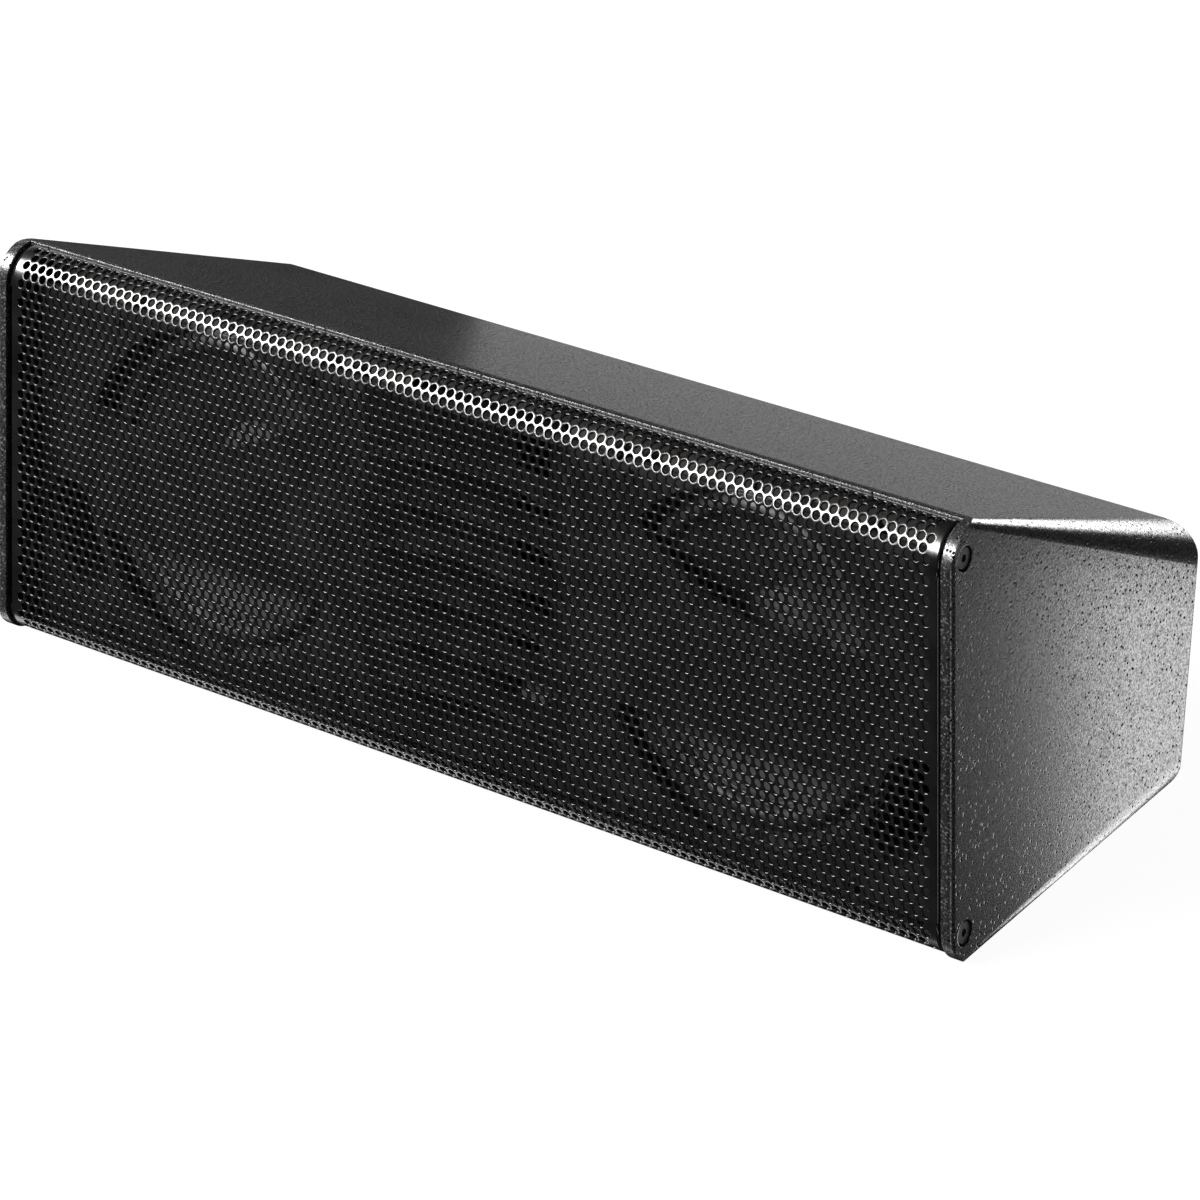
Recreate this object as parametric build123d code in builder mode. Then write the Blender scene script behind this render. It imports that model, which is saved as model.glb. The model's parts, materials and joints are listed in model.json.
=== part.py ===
from build123d import *
import os
from math import cos, radians, sin, tan

# Compact line array loudspeaker: two woofers either side of a central high-frequency horn.
# +X is to the right seen from the front, +Y runs from the grille to the rear, +Z is up.
# The origin is the centre of the flat base. All sizes are in millimetres.

# ---------------------------------------------------------------- enclosure
WIDTH = 548.0
CORNER_HEIGHT = 189.1  # sharp front top corner above the base, before rounding
BASE_DEPTH = 177.6  # front edge of a cheek to the sharp rear bottom corner
TOP_SLOPE = 21.15  # the top falls towards the rear, degrees
REAR_TILT = 9.6  # the rear face leans out towards its top, degrees
WALL = 5.6
FRONT_CORNER_R = 16.2  # rounding of the cheeks seen from the side
REAR_CORNER_R = 12.2
EDGE_R_FRONT = 2.6  # rounding between side and top grows from front to rear
EDGE_R_REAR = 18.1
REAR_UPRIGHT_R = 1.5  # upright edges between sides and rear face
CAVITY_R_FRONT = 1.0
CAVITY_R_REAR = 13.0
CHEEK_STAND = 1.1  # the cheeks stand this far in front of the grille

# ---------------------------------------------------------------- grille
GRILLE_T = 1.2
GRILLE_HALF_WIDTH = 266.4
GRILLE_R = FRONT_CORNER_R - CHEEK_STAND
PANEL_GAP = 0.4  # between the grille's rear edge and the top panel
RETURN_DEPTH = 12.0  # side flanges of the grille
RETURN_BOTTOM_Z = 18.0
RETURN_TOP_Z = 164.4
BRACKET_T = 3.0
BRACKET_FRONT = 4.5
BRACKET_REAR = 13.0
BRACKET_BOTTOM_Z = 9.0
BRACKET_TOP_Z = 172.0
GRILLE_SCREW_DEPTH = 8.6
GRILLE_SCREW_Z = (13.4, 169.0)
COUNTERBORE_R = 5.3
COUNTERBORE_DEPTH = 3.4
BOSS_R = 4.4

# ---------------------------------------------------------------- plates, baffle and horn
PLATE_DEPTH = 15.0  # everything below is placed by its depth behind the grille's face
PLATE_T = 3.0
PLATE_INNER_X = 86.0
PLATE_OUTER_X = 263.0
PLATE_BOTTOM_Z = 8.0
PLATE_TOP_Z = 164.0
PLATE_CORNER_R = 6.0
SLOT_R = 77.0  # the openings in front of a cone end on this circle
LOWER_SLOT_TOP_Z = 58.0
BOW_START = (96.0, 138.0)  # lower edge of the upper opening, right-hand plate
BOW_MIDDLE = (150.0, 111.0)
BOW_END = (226.0, 114.0)
POST_R = 4.5
PLATE_POSTS = ((92.0, 16.0), (92.0, 158.0), (212.0, 158.0), (256.0, 120.0), (212.0, 14.0))
BAFFLE_DEPTH = 32.0
BAFFLE_T = 12.0
BAFFLE_CORNER_R = 8.0
CUTOUT_GAP = 1.0  # room round a part that sits in the baffle

HORN_MOUTH_W = 120.0
HORN_MOUTH_BOTTOM_Z = 14.0
HORN_MOUTH_TOP_Z = 161.0
HORN_FLANGE_HALF_W = 85.5
HORN_THROAT_DEPTH = 62.0
HORN_SLOT_W = 20.0
HORN_SLOT_H = 132.0
HORN_WALL = 2.5
HORN_POST_X = 76.0
HORN_POST_Z = (15.0, 158.0)
HF_Z = 82.0
VANE_COUNT = 6
VANE_PITCH = 20.5
VANE_T = 2.0
VANE_CHORD = 16.0
VANE_RISE = 7.0
VANE_LOWEST_Z = 34.0
COUPLER_FLANGE_T = 3.0
COUPLER_FLANGE_W = 50.0
COUPLER_FLANGE_H = 146.0
COUPLER_SCREW_INSET = 4.5
THROAT_CORNER_R = 2.0

# ---------------------------------------------------------------- ports
PORT_X = 237.5
PORT_Z = 49.5
PORT_W = 28.0
PORT_L = 56.0
PORT_WALL = 2.5
PORT_LEAN = 24.5  # degrees, follows the woofer's rim
PORT_REAR = 108.0

# ---------------------------------------------------------------- woofers
WOOFER_X = 153.0
WOOFER_Z = 88.0
FLANGE_R = 78.0
FLANGE_INNER_R = 69.5
FLANGE_T = 3.5
BASKET_R = 72.0
BASKET_WALL = 2.5
LANDING_R = 45.0
LANDING_DEPTH = 64.0
SHOULDER = 4.0  # straight part of the basket behind the flange
SEAT_LIP = 3.0  # the basket's floor stops this far from the top plate's bore
WINDOW_FRONT = 40.0
WINDOW_REAR = 61.0
WINDOW_W = 37.8
WINDOW_H = 33.8
GASKET_T = 1.5
SURROUND_T = 0.8
ROLL_R = 4.0
ROLL_MID_R = 65.5
LIP_W = 2.0
CONE_T = 0.9
CONE_REAR_DEPTH = 51.0
CONE_NECK_T = 1.0
FORMER_R = 19.2
FORMER_T = 0.4
FORMER_REAR = 82.0
WINDING_T = 0.8
WINDING_FRONT = 71.0
WINDING_REAR = 81.0
CAP_R = 23.0
CAP_RISE = 8.0
CAP_T = 0.7
SPIDER_T = 0.5
SPIDER_DEPTH = 62.5
SPIDER_WAVES = 5
SPIDER_LIP = 2.5
TOP_PLATE_DEPTH = 73.0
TOP_PLATE_T = 6.0
TOP_PLATE_BORE_R = 20.7
TOP_PLATE_R = 38.0
MAGNET_T = 15.0
MAGNET_BORE_R = 26.0
MAGNET_R = 42.0
BACK_PLATE_T = 6.0
POLE_R = 18.2
POLE_VENT_R = 5.0
WOOFER_SCREW_R = 75.0
WOOFER_SCREWS = 6
WOOFER_SCREW_START = 30.0  # degrees
TERMINAL_DEPTH = 69.0
TERMINAL_W = 16.0
TERMINAL_D = 6.0
TERMINAL_H = 3.0
TAB_X = 5.0
TAB_W = 3.0
TAB_L = 10.0
TAB_T = 0.8

# ---------------------------------------------------------------- compression driver
HF_DEPTH = 105.0  # joint between waveguide and driver
HF_R = 38.0
THROAT_R = 12.5
HF_FLANGE_T = 6.0
HF_POLE_R = 21.2
HF_POLE_REAR = 129.0
HF_BORE_REAR_R = 17.0
HF_MAGNET_BORE_R = 27.0
HF_MAGNET_T = 13.0
HF_TOP_PLATE_T = 6.0
HF_COIL_R = 21.8
HF_COIL_T = 0.5
HF_COIL_L = 7.0
HF_GAP_R = 22.8
DOME_T = 0.4
DOME_RISE = 6.0
DOME_LIFT = 1.5  # the diaphragm's rim stands behind the top plate
PLUG_LENGTH = 14.4
PLUG_R = 12.0
PLUG_RING_T = 2.5
PLUG_RING_TIP_T = 0.8
PLUG_WEB_R = 13.0
PLUG_WEB = (5.0, 1.2, 2.0)
PLUG_WEBS = 3
SUSPENSION_R = 30.0
CLAMP_W = 3.0
CAP_WALL = 2.5
CAP_DEPTH = 18.0
CAP_STEP = 1.0
CAP_CHAMFER = 3.0
HF_SCREW_R = 31.0
HF_SCREWS = 4
HF_SCREW_START = 45.0  # degrees

# ---------------------------------------------------------------- rear panel, crossover and inserts
PANEL_W = 126.0
PANEL_H = 72.0
PANEL_T = 2.0
PANEL_R = 6.0
PANEL_Z = 50.0
PANEL_RECESS = 2.4
PANEL_RIM = 9.0
SOCKET_X = 28.0
SOCKET_BODY_R = 12.0
SOCKET_FLANGE = 28.0
SOCKET_FLANGE_T = 2.0
SOCKET_FLANGE_R = 4.0
SOCKET_LENGTH = 24.0
SOCKET_WELL_R = 9.0
SOCKET_WELL_DEPTH = 17.0
SOCKET_CORE_R = 5.0
INSERT_X = 60.0
INSERT_DEPTH = 110.0
INSERT_R = 7.0
INSERT_LENGTH = 13.0
INSERT_THREAD_R = 3.4  # tapped M8, minor diameter
INSERT_BOSS_R = 12.0
INSERT_BOSS_TOP_Z = 18.0
BOARD_X = 195.0
BOARD_DEPTH = 137.0
BOARD_W = 100.0
BOARD_D = 54.0
BOARD_T = 1.6
BOARD_SCREW_INSET = 4.0
STANDOFF_H = 6.0
STANDOFF_R = 3.0
INDUCTOR_R = 15.0
INDUCTOR_BORE_R = 7.0
INDUCTOR_H = 14.0
INDUCTORS = ((-26.0, 0.0), (8.0, 9.0))  # from the board's centre
CAPACITOR_R = 6.5
CAPACITOR_L = 20.0
CAPACITORS = ((35.0, -14.0), (35.0, 2.0))
RESISTOR_W = 7.0
RESISTOR_L = 18.0
RESISTORS = ((-4.0, -16.0), (8.0, -16.0))
PAD_T = 9.0
PAD_FRONT = 60.0
PAD_REAR = 156.0
PAD_BOTTOM_Z = 18.0
PAD_TOP_Z = 98.0
WIRE_R = 1.6
WIRE_BEND = 6.0
WIRE_LEAD = 15.0  # straight run before a wire's end
LONG_WIRE_DEPTH = 130.0
HF_WIRE_DEPTH = 138.0
PANEL_WIRE_DEPTH = 157.0

# ---------------------------------------------------------------- fasteners: radii and lengths
M5_SHANK_R = 2.5
M5_HEAD_R = 4.3
M5_HEAD_H = 2.8
M5_KEY_R = 1.75
M4_SHANK_R = 2.0
M4_HEAD_R = 3.0
M4_HEAD_H = 2.2
M4_KEY_R = 1.45
M3_SHANK_R = 1.5
M3_HEAD_R = 2.6
M3_HEAD_H = 1.8
M3_KEY_R = 1.15
THREAD_FIT = 0.05  # radial room between a screw and its thread
HOLE_FIT = 0.2  # radial room in a clearance hole
GLUE_LINE = 0.01  # bonded pieces stand this far apart
KEY_SHARE = 0.6  # depth of a key socket in its head
M4_BITE = 8.0  # length of thread in the second piece
M3_BITE = 3.0
SCREW_SHORT = 0.5  # a through screw ends this far inside the far face

SLOPE = radians(TOP_SLOPE)
TILT = radians(REAR_TILT)
SIDES = (("left", -1), ("right", 1))
ON_SEAT = (Align.CENTER, Align.CENTER, Align.MIN)


def rear_top_corner(inset=0.0):
    """Depth from the cheek's front edge, and height, of the sharp rear top corner."""
    top_here = CORNER_HEIGHT - inset / cos(SLOPE) - (BASE_DEPTH - inset / cos(TILT)) * tan(SLOPE)
    height = top_here / (1 + tan(SLOPE) * tan(TILT))
    return BASE_DEPTH - inset / cos(TILT) + height * tan(TILT), height


REAR_TOP_DEPTH, REAR_TOP_Z = rear_top_corner()
CORNER_SETBACK = REAR_CORNER_R / tan(radians(90 + REAR_TILT) / 2)
OVERALL_DEPTH = REAR_TOP_DEPTH - CORNER_SETBACK * sin(TILT) + REAR_CORNER_R * (1 - cos(TILT))
FRONT_Y = -OVERALL_DEPTH / 2
GRILLE_Y = FRONT_Y + CHEEK_STAND
GRILLE_TOP_Z = CORNER_HEIGHT - FRONT_CORNER_R / tan(radians(90 - TOP_SLOPE) / 2)  # end of the flat face
GRILLE_BOTTOM_Z = FRONT_CORNER_R
INNER_X = WIDTH / 2 - WALL
BAFFLE_REAR = BAFFLE_DEPTH + BAFFLE_T

os.makedirs("parts", exist_ok=True)


def at(depth):
    """Y of a point that lies this far behind the grille's face."""
    return GRILLE_Y + depth


def top_z(depth, inset=0.0):
    """Height of the sloping top at a depth behind the grille's face."""
    return CORNER_HEIGHT - (depth + CHEEK_STAND) * tan(SLOPE) - inset / cos(SLOPE)


def facing_front(depth, x=0.0, z=0.0):
    """Upright plane facing the listener; its own axes are X and Z."""
    return Plane(origin=(x, at(depth), z), x_dir=(1, 0, 0), z_dir=(0, -1, 0))


def corner_points(width, height):
    """The four corners of a centred rectangle."""
    return [(u * width / 2, v * height / 2) for u in (-1, 1) for v in (-1, 1)]


def ring_points(radius, count, start, centre=(0, 0)):
    """Points evenly spaced round a circle, the first at a start angle in degrees."""
    turns = [radians(start + 360 * step / count) for step in range(count)]
    return [(centre[0] + radius * cos(turn), centre[1] + radius * sin(turn)) for turn in turns]


def outline(points, plane):
    """Filled polygon on a plane."""
    with BuildSketch(plane) as face:
        with BuildLine():
            Polyline(*points, close=True)
        make_face()
    return face.sketch


def save(piece, label):
    """Name a finished piece and write it to its own file."""
    piece.part.label = label
    export_step(piece.part, f"parts/{label}.step")


def socket_screws(seats, shank_r, length, head_r, head_h, key_r):
    """One screw on each seat plane; the plane's normal points out of the head."""
    tops = [seat.offset(head_h) for seat in seats]
    with BuildPart() as screws:
        with Locations(*seats):
            Cylinder(head_r, head_h, align=ON_SEAT)
            Cylinder(shank_r, length, align=(Align.CENTER, Align.CENTER, Align.MAX))
        with BuildSketch(*tops):
            RegularPolygon(key_r, 6)
        extrude(amount=-KEY_SHARE * head_h, mode=Mode.SUBTRACT)
    return screws


# ================================================================ enclosure
REAR_PANEL_Y = FRONT_Y + BASE_DEPTH + PANEL_Z * tan(TILT)
rear_face = Plane(origin=(0, REAR_PANEL_Y, PANEL_Z), x_dir=(-1, 0, 0), z_dir=(0, cos(TILT), -sin(TILT)))
panel_seat = rear_face.offset(-PANEL_RECESS)
rear_edge_plane = Plane(
    origin=(0, FRONT_Y + BASE_DEPTH, 0), x_dir=(1, 0, 0), z_dir=(0, sin(TILT), cos(TILT))
)
grille_screw_seats = [
    Plane(origin=(side * (WIDTH / 2 - COUNTERBORE_DEPTH), at(GRILLE_SCREW_DEPTH), z), z_dir=(side, 0, 0))
    for _, side in SIDES
    for z in GRILLE_SCREW_Z
]
insert_spots = [(side * INSERT_X, at(INSERT_DEPTH), 0) for _, side in SIDES]
panel_corners = corner_points(PANEL_W - PANEL_RIM, PANEL_H - PANEL_RIM)

side_corners = [
    (FRONT_Y, 0),
    (FRONT_Y, CORNER_HEIGHT),
    (FRONT_Y + REAR_TOP_DEPTH, REAR_TOP_Z),
    (FRONT_Y + BASE_DEPTH, 0),
]

cavity_depth, cavity_top_z = rear_top_corner(WALL)
cavity_front = GRILLE_R + PANEL_GAP
cavity_bottom_y = FRONT_Y + BASE_DEPTH - WALL / cos(TILT) + WALL * tan(TILT)

with BuildPart() as cavity:
    for depth, top, radius in (
        (cavity_front, top_z(cavity_front, WALL), CAVITY_R_FRONT),
        (cavity_depth - CHEEK_STAND, cavity_top_z, CAVITY_R_REAR),
    ):
        with BuildSketch(facing_front(depth, z=(WALL + top) / 2)):
            RectangleRounded(2 * INNER_X, top - WALL, radius)
    loft(ruled=True)
    cavity_side = [
        (at(cavity_front), 0),
        (at(cavity_front), CORNER_HEIGHT),
        (FRONT_Y + cavity_depth, cavity_top_z),
        (cavity_bottom_y, WALL),
        (cavity_bottom_y, 0),
    ]
    extrude(outline(cavity_side, Plane.YZ), amount=WIDTH / 2, both=True, mode=Mode.INTERSECT)


def edge_waste(depth, corner_z, side, inward):
    """What lies outside a long edge's rounding at one depth; inward is 1 on the base and -1 on the top."""
    share = (depth + CHEEK_STAND) / REAR_TOP_DEPTH
    radius = EDGE_R_FRONT + share * (EDGE_R_REAR - EDGE_R_FRONT)
    corner_x = side * WIDTH / 2
    start = (corner_x - side * radius, corner_z)
    end = (corner_x, corner_z + inward * radius)
    sagitta = radius * (1 - cos(radians(45)))
    middle = (corner_x - side * sagitta, corner_z + inward * sagitta)
    outer_x = corner_x + side * EDGE_R_REAR
    outer_z = corner_z - inward * EDGE_R_REAR
    with BuildSketch(facing_front(depth)) as waste:
        with BuildLine():
            ThreePointArc(start, middle, end)
            Polyline(end, (outer_x, end[1]), (outer_x, outer_z), (start[0], outer_z), start)
        make_face()
    return waste.sketch


with BuildPart() as enclosure:
    extrude(outline(side_corners, Plane.YZ), amount=WIDTH / 2, both=True)
    edge_ends = (-CHEEK_STAND - EDGE_R_FRONT, REAR_TOP_DEPTH + EDGE_R_FRONT)
    for _, side in SIDES:
        base_waste = [edge_waste(depth, 0, side, 1) for depth in edge_ends]
        top_waste = [edge_waste(depth, top_z(depth), side, -1) for depth in edge_ends]
        loft(base_waste, ruled=True, mode=Mode.SUBTRACT)
        loft(top_waste, ruled=True, mode=Mode.SUBTRACT)
    # corners seen from the side
    with BuildSketch(Plane.YZ) as side_profile:
        with BuildLine():
            Polyline(*side_corners, close=True)
        make_face()
        fillet(side_profile.vertices().group_by(Axis.X)[0], FRONT_CORNER_R)
        fillet(side_profile.vertices().group_by(Axis.X)[-1], REAR_CORNER_R)
        fillet(side_profile.vertices().sort_by(Axis.Y)[:2].sort_by(Axis.X)[-1], REAR_CORNER_R)
    extrude(amount=WIDTH, both=True, mode=Mode.INTERSECT)
    # upright edges, rounded in plan
    with BuildSketch(Plane.XY) as front_plan:
        with Locations((0, FRONT_Y)):
            Rectangle(WIDTH, 2 * OVERALL_DEPTH, align=(Align.CENTER, Align.MIN))
        fillet(front_plan.vertices().group_by(Axis.Y)[0], EDGE_R_FRONT)
    extrude(amount=CORNER_HEIGHT, mode=Mode.INTERSECT)
    with BuildSketch(rear_edge_plane) as rear_plan:
        Rectangle(WIDTH, 2 * OVERALL_DEPTH, align=(Align.CENTER, Align.MAX))
        fillet(rear_plan.vertices().group_by(Axis.Y)[-1], REAR_UPRIGHT_R)
    extrude(amount=2 * CORNER_HEIGHT, both=True, mode=Mode.INTERSECT)
    add(cavity.part, mode=Mode.SUBTRACT)
    # open bay between the cheeks for the grille
    with BuildSketch(Plane.YZ):
        with Locations((FRONT_Y, CORNER_HEIGHT / 2)):
            Rectangle(2 * (cavity_front + CHEEK_STAND), 2 * CORNER_HEIGHT)
    extrude(amount=INNER_X, both=True, mode=Mode.SUBTRACT)
    # counterbored holes for the grille screws
    with Locations(*grille_screw_seats):
        Cylinder(COUNTERBORE_R, 2 * COUNTERBORE_DEPTH, align=ON_SEAT, mode=Mode.SUBTRACT)
        Cylinder(M5_SHANK_R + HOLE_FIT, 2 * WALL, mode=Mode.SUBTRACT)
    # recess and window for the connector panel
    with BuildSketch(panel_seat):
        RectangleRounded(PANEL_W + 2 * HOLE_FIT, PANEL_H + 2 * HOLE_FIT, PANEL_R)
    extrude(amount=2 * PANEL_RECESS, mode=Mode.SUBTRACT)
    with BuildSketch(panel_seat):
        RectangleRounded(PANEL_W - 2 * PANEL_RIM, PANEL_H - 2 * PANEL_RIM, PANEL_R)
        with Locations(*panel_corners):
            Circle(M3_SHANK_R + THREAD_FIT)
    extrude(amount=-2 * WALL, mode=Mode.SUBTRACT)
    # bosses and sockets for the threaded inserts in the base
    with Locations(*insert_spots):
        Cylinder(INSERT_BOSS_R, INSERT_BOSS_TOP_Z, align=ON_SEAT)
        Cylinder(INSERT_R, INSERT_LENGTH, align=ON_SEAT, mode=Mode.SUBTRACT)
save(enclosure, "enclosure_shell")

with BuildPart() as mounting_inserts:
    with Locations(*insert_spots):
        Cylinder(INSERT_R - THREAD_FIT, INSERT_LENGTH, align=ON_SEAT)
        Cylinder(INSERT_THREAD_R, INSERT_LENGTH, align=ON_SEAT, mode=Mode.SUBTRACT)
save(mounting_inserts, "mounting_inserts")

# ================================================================ grille
with BuildPart() as grille:
    with BuildSketch(Plane.YZ):
        with BuildLine():
            rear = at(GRILLE_R)
            CenterArc((rear, GRILLE_TOP_Z), GRILLE_R, 90, 90)
            Line((GRILLE_Y, GRILLE_TOP_Z), (GRILLE_Y, GRILLE_BOTTOM_Z))
            CenterArc((rear, GRILLE_BOTTOM_Z), GRILLE_R, 180, 90)
            Line((rear, GRILLE_BOTTOM_Z - GRILLE_R), (rear, GRILLE_BOTTOM_Z - GRILLE_R + GRILLE_T))
            CenterArc((rear, GRILLE_BOTTOM_Z), GRILLE_R - GRILLE_T, 180, 90)
            Line((at(GRILLE_T), GRILLE_BOTTOM_Z), (at(GRILLE_T), GRILLE_TOP_Z))
            CenterArc((rear, GRILLE_TOP_Z), GRILLE_R - GRILLE_T, 90, 90)
            Line((rear, GRILLE_TOP_Z + GRILLE_R - GRILLE_T), (rear, GRILLE_TOP_Z + GRILLE_R))
        make_face()
    extrude(amount=GRILLE_HALF_WIDTH, both=True)
    return_z = (RETURN_BOTTOM_Z + RETURN_TOP_Z) / 2
    for _, side in SIDES:
        with Locations((side * (GRILLE_HALF_WIDTH - GRILLE_T / 2), at(RETURN_DEPTH / 2), return_z)):
            Box(GRILLE_T, RETURN_DEPTH, RETURN_TOP_Z - RETURN_BOTTOM_Z)
save(grille, "grille")

bracket_outer_x = GRILLE_HALF_WIDTH - GRILLE_T
with BuildPart() as grille_brackets:
    for _, side in SIDES:
        with Locations(
            (
                side * (bracket_outer_x - BRACKET_T / 2),
                at((BRACKET_FRONT + BRACKET_REAR) / 2),
                (BRACKET_BOTTOM_Z + BRACKET_TOP_Z) / 2,
            )
        ):
            Box(BRACKET_T, BRACKET_REAR - BRACKET_FRONT, BRACKET_TOP_Z - BRACKET_BOTTOM_Z)
        boss_planes = [
            Plane(origin=(side * bracket_outer_x, at(GRILLE_SCREW_DEPTH), z), z_dir=(side, 0, 0))
            for z in GRILLE_SCREW_Z
        ]
        with Locations(*boss_planes):
            Cylinder(BOSS_R, INNER_X - bracket_outer_x, align=ON_SEAT)
            Cylinder(M5_SHANK_R + THREAD_FIT, 4 * BRACKET_T, mode=Mode.SUBTRACT)
save(grille_brackets, "grille_brackets")

grille_screw_length = WIDTH / 2 - COUNTERBORE_DEPTH - bracket_outer_x + BRACKET_T
grille_screws = socket_screws(
    grille_screw_seats, M5_SHANK_R, grille_screw_length, M5_HEAD_R, M5_HEAD_H, M5_KEY_R
)
save(grille_screws, "grille_screws")

# ================================================================ baffle
horn_posts = [(side * HORN_POST_X, z) for _, side in SIDES for z in HORN_POST_Z]
plate_posts = [(side * x, z) for _, side in SIDES for x, z in PLATE_POSTS]
horn_run = HORN_THROAT_DEPTH - PLATE_DEPTH
horn_centre_z = (HORN_MOUTH_BOTTOM_Z + HORN_MOUTH_TOP_Z) / 2
horn_mouth_h = HORN_MOUTH_TOP_Z - HORN_MOUTH_BOTTOM_Z


def port_spot(side):
    """Centre and lean of one port, on a plane that faces the front."""
    return Location((side * PORT_X, PORT_Z, 0), (0, 0, 90 - side * PORT_LEAN))


def horn_half_width(depth):
    """Inside half width of the horn at a depth behind the grille's face."""
    share = (depth - PLATE_DEPTH) / horn_run
    return HORN_MOUTH_W / 2 + share * (HORN_SLOT_W - HORN_MOUTH_W) / 2


with BuildPart() as baffle:
    baffle_side = [
        (at(BAFFLE_DEPTH), WALL),
        (at(BAFFLE_DEPTH), top_z(BAFFLE_DEPTH, WALL)),
        (at(BAFFLE_REAR), top_z(BAFFLE_REAR, WALL)),
        (at(BAFFLE_REAR), WALL),
    ]
    extrude(outline(baffle_side, Plane.YZ), amount=INNER_X, both=True)
    for end in (0, -1):
        fillet(baffle.edges().group_by(Axis.X)[end].filter_by(Axis.Z, reverse=True), BAFFLE_CORNER_R)
    with BuildSketch(facing_front(BAFFLE_DEPTH)):
        with Locations((-WOOFER_X, WOOFER_Z), (WOOFER_X, WOOFER_Z)):
            Circle(BASKET_R + CUTOUT_GAP)
            with PolarLocations(WOOFER_SCREW_R, WOOFER_SCREWS, start_angle=WOOFER_SCREW_START):
                Circle(M4_SHANK_R + THREAD_FIT)
        horn_gap_w = 2 * (horn_half_width(BAFFLE_DEPTH) + HORN_WALL + CUTOUT_GAP)
        with Locations((0, horn_centre_z)):
            Rectangle(horn_gap_w, horn_mouth_h + 2 * HORN_WALL)
        with Locations(*[port_spot(side) for _, side in SIDES]):
            SlotOverall(PORT_L, PORT_W)
        with Locations(*horn_posts, *plate_posts):
            Circle(M4_SHANK_R + THREAD_FIT)
    extrude(amount=-BAFFLE_T, mode=Mode.SUBTRACT)
save(baffle, "front_baffle")

# ================================================================ phase plates
for name, side in SIDES:
    post_spots = [(side * x, z) for x, z in PLATE_POSTS]
    bow_start = (side * BOW_START[0], BOW_START[1])
    bow_middle = (side * BOW_MIDDLE[0], BOW_MIDDLE[1])
    bow_end = (side * BOW_END[0], BOW_END[1])
    opening_inner_x = side * (WOOFER_X - SLOT_R)
    opening_outer_x = side * (WOOFER_X + SLOT_R)
    with BuildPart() as phase_plate:
        with BuildSketch(facing_front(PLATE_DEPTH)):
            with Locations((side * (PLATE_INNER_X + PLATE_OUTER_X) / 2, (PLATE_BOTTOM_Z + PLATE_TOP_Z) / 2)):
                RectangleRounded(PLATE_OUTER_X - PLATE_INNER_X, PLATE_TOP_Z - PLATE_BOTTOM_Z, PLATE_CORNER_R)
        extrude(amount=-PLATE_T)
        # upper opening: between the rim circle and a shallow bow
        with BuildSketch(facing_front(PLATE_DEPTH)):
            with Locations((side * WOOFER_X, WOOFER_Z)):
                Circle(SLOT_R)
            with BuildLine():
                ThreePointArc(bow_start, bow_middle, bow_end)
                Polyline(
                    bow_end,
                    (opening_outer_x, BOW_END[1]),
                    (opening_outer_x, WOOFER_Z + SLOT_R),
                    (opening_inner_x, WOOFER_Z + SLOT_R),
                    (opening_inner_x, BOW_START[1]),
                    bow_start,
                )
            make_face(mode=Mode.INTERSECT)
        extrude(amount=-PLATE_T, mode=Mode.SUBTRACT)
        # lower opening: the foot of the same circle
        with BuildSketch(facing_front(PLATE_DEPTH)):
            with Locations((side * WOOFER_X, WOOFER_Z)):
                Circle(SLOT_R)
            with Locations((side * WOOFER_X, LOWER_SLOT_TOP_Z)):
                Rectangle(3 * SLOT_R, 3 * SLOT_R, align=(Align.CENTER, Align.MAX), mode=Mode.INTERSECT)
        extrude(amount=-PLATE_T, mode=Mode.SUBTRACT)
        # opening in front of the port
        with BuildSketch(facing_front(PLATE_DEPTH)):
            with Locations(port_spot(side)):
                SlotOverall(PORT_L, PORT_W)
        extrude(amount=-PLATE_T, mode=Mode.SUBTRACT)
        with BuildSketch(facing_front(PLATE_DEPTH + PLATE_T)):
            with Locations(*post_spots):
                Circle(POST_R)
        extrude(amount=PLATE_DEPTH + PLATE_T - BAFFLE_DEPTH)
        with BuildSketch(facing_front(PLATE_DEPTH)):
            with Locations(*post_spots):
                Circle(M4_SHANK_R + HOLE_FIT)
        extrude(amount=PLATE_DEPTH - BAFFLE_DEPTH, mode=Mode.SUBTRACT)
    save(phase_plate, f"{name}_phase_plate")

plate_screw_length = BAFFLE_DEPTH - PLATE_DEPTH + M4_BITE
plate_seats = [facing_front(PLATE_DEPTH, x, z) for x, z in plate_posts]
plate_screws = socket_screws(plate_seats, M4_SHANK_R, plate_screw_length, M4_HEAD_R, M4_HEAD_H, M4_KEY_R)
save(plate_screws, "phase_plate_screws")

# ================================================================ ports
for name, side in SIDES:
    with BuildPart() as port_tube:
        with BuildSketch(facing_front(PLATE_DEPTH + PLATE_T)):
            with Locations(port_spot(side)):
                SlotOverall(PORT_L - 2 * HOLE_FIT, PORT_W - 2 * HOLE_FIT)
                SlotOverall(PORT_L - 2 * PORT_WALL, PORT_W - 2 * PORT_WALL, mode=Mode.SUBTRACT)
        extrude(amount=PLATE_DEPTH + PLATE_T - PORT_REAR)
    save(port_tube, f"{name}_port_tube")

# ================================================================ horn
coupler_corners = corner_points(
    COUPLER_FLANGE_W - 2 * COUPLER_SCREW_INSET, COUPLER_FLANGE_H - 2 * COUPLER_SCREW_INSET
)


def passage(front, rear, wall):
    """Straight-sided duct between two rectangles (depth, z, width, height), grown by a wall."""
    with BuildPart() as duct:
        for depth, z, width, height in (front, rear):
            with BuildSketch(facing_front(depth, z=z)):
                Rectangle(width + 2 * wall, height + 2 * wall)
        loft(ruled=True)
    return duct.part


horn_front = (PLATE_DEPTH, horn_centre_z, HORN_MOUTH_W, horn_mouth_h)
horn_rear = (HORN_THROAT_DEPTH, HF_Z, HORN_SLOT_W, HORN_SLOT_H)

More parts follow.
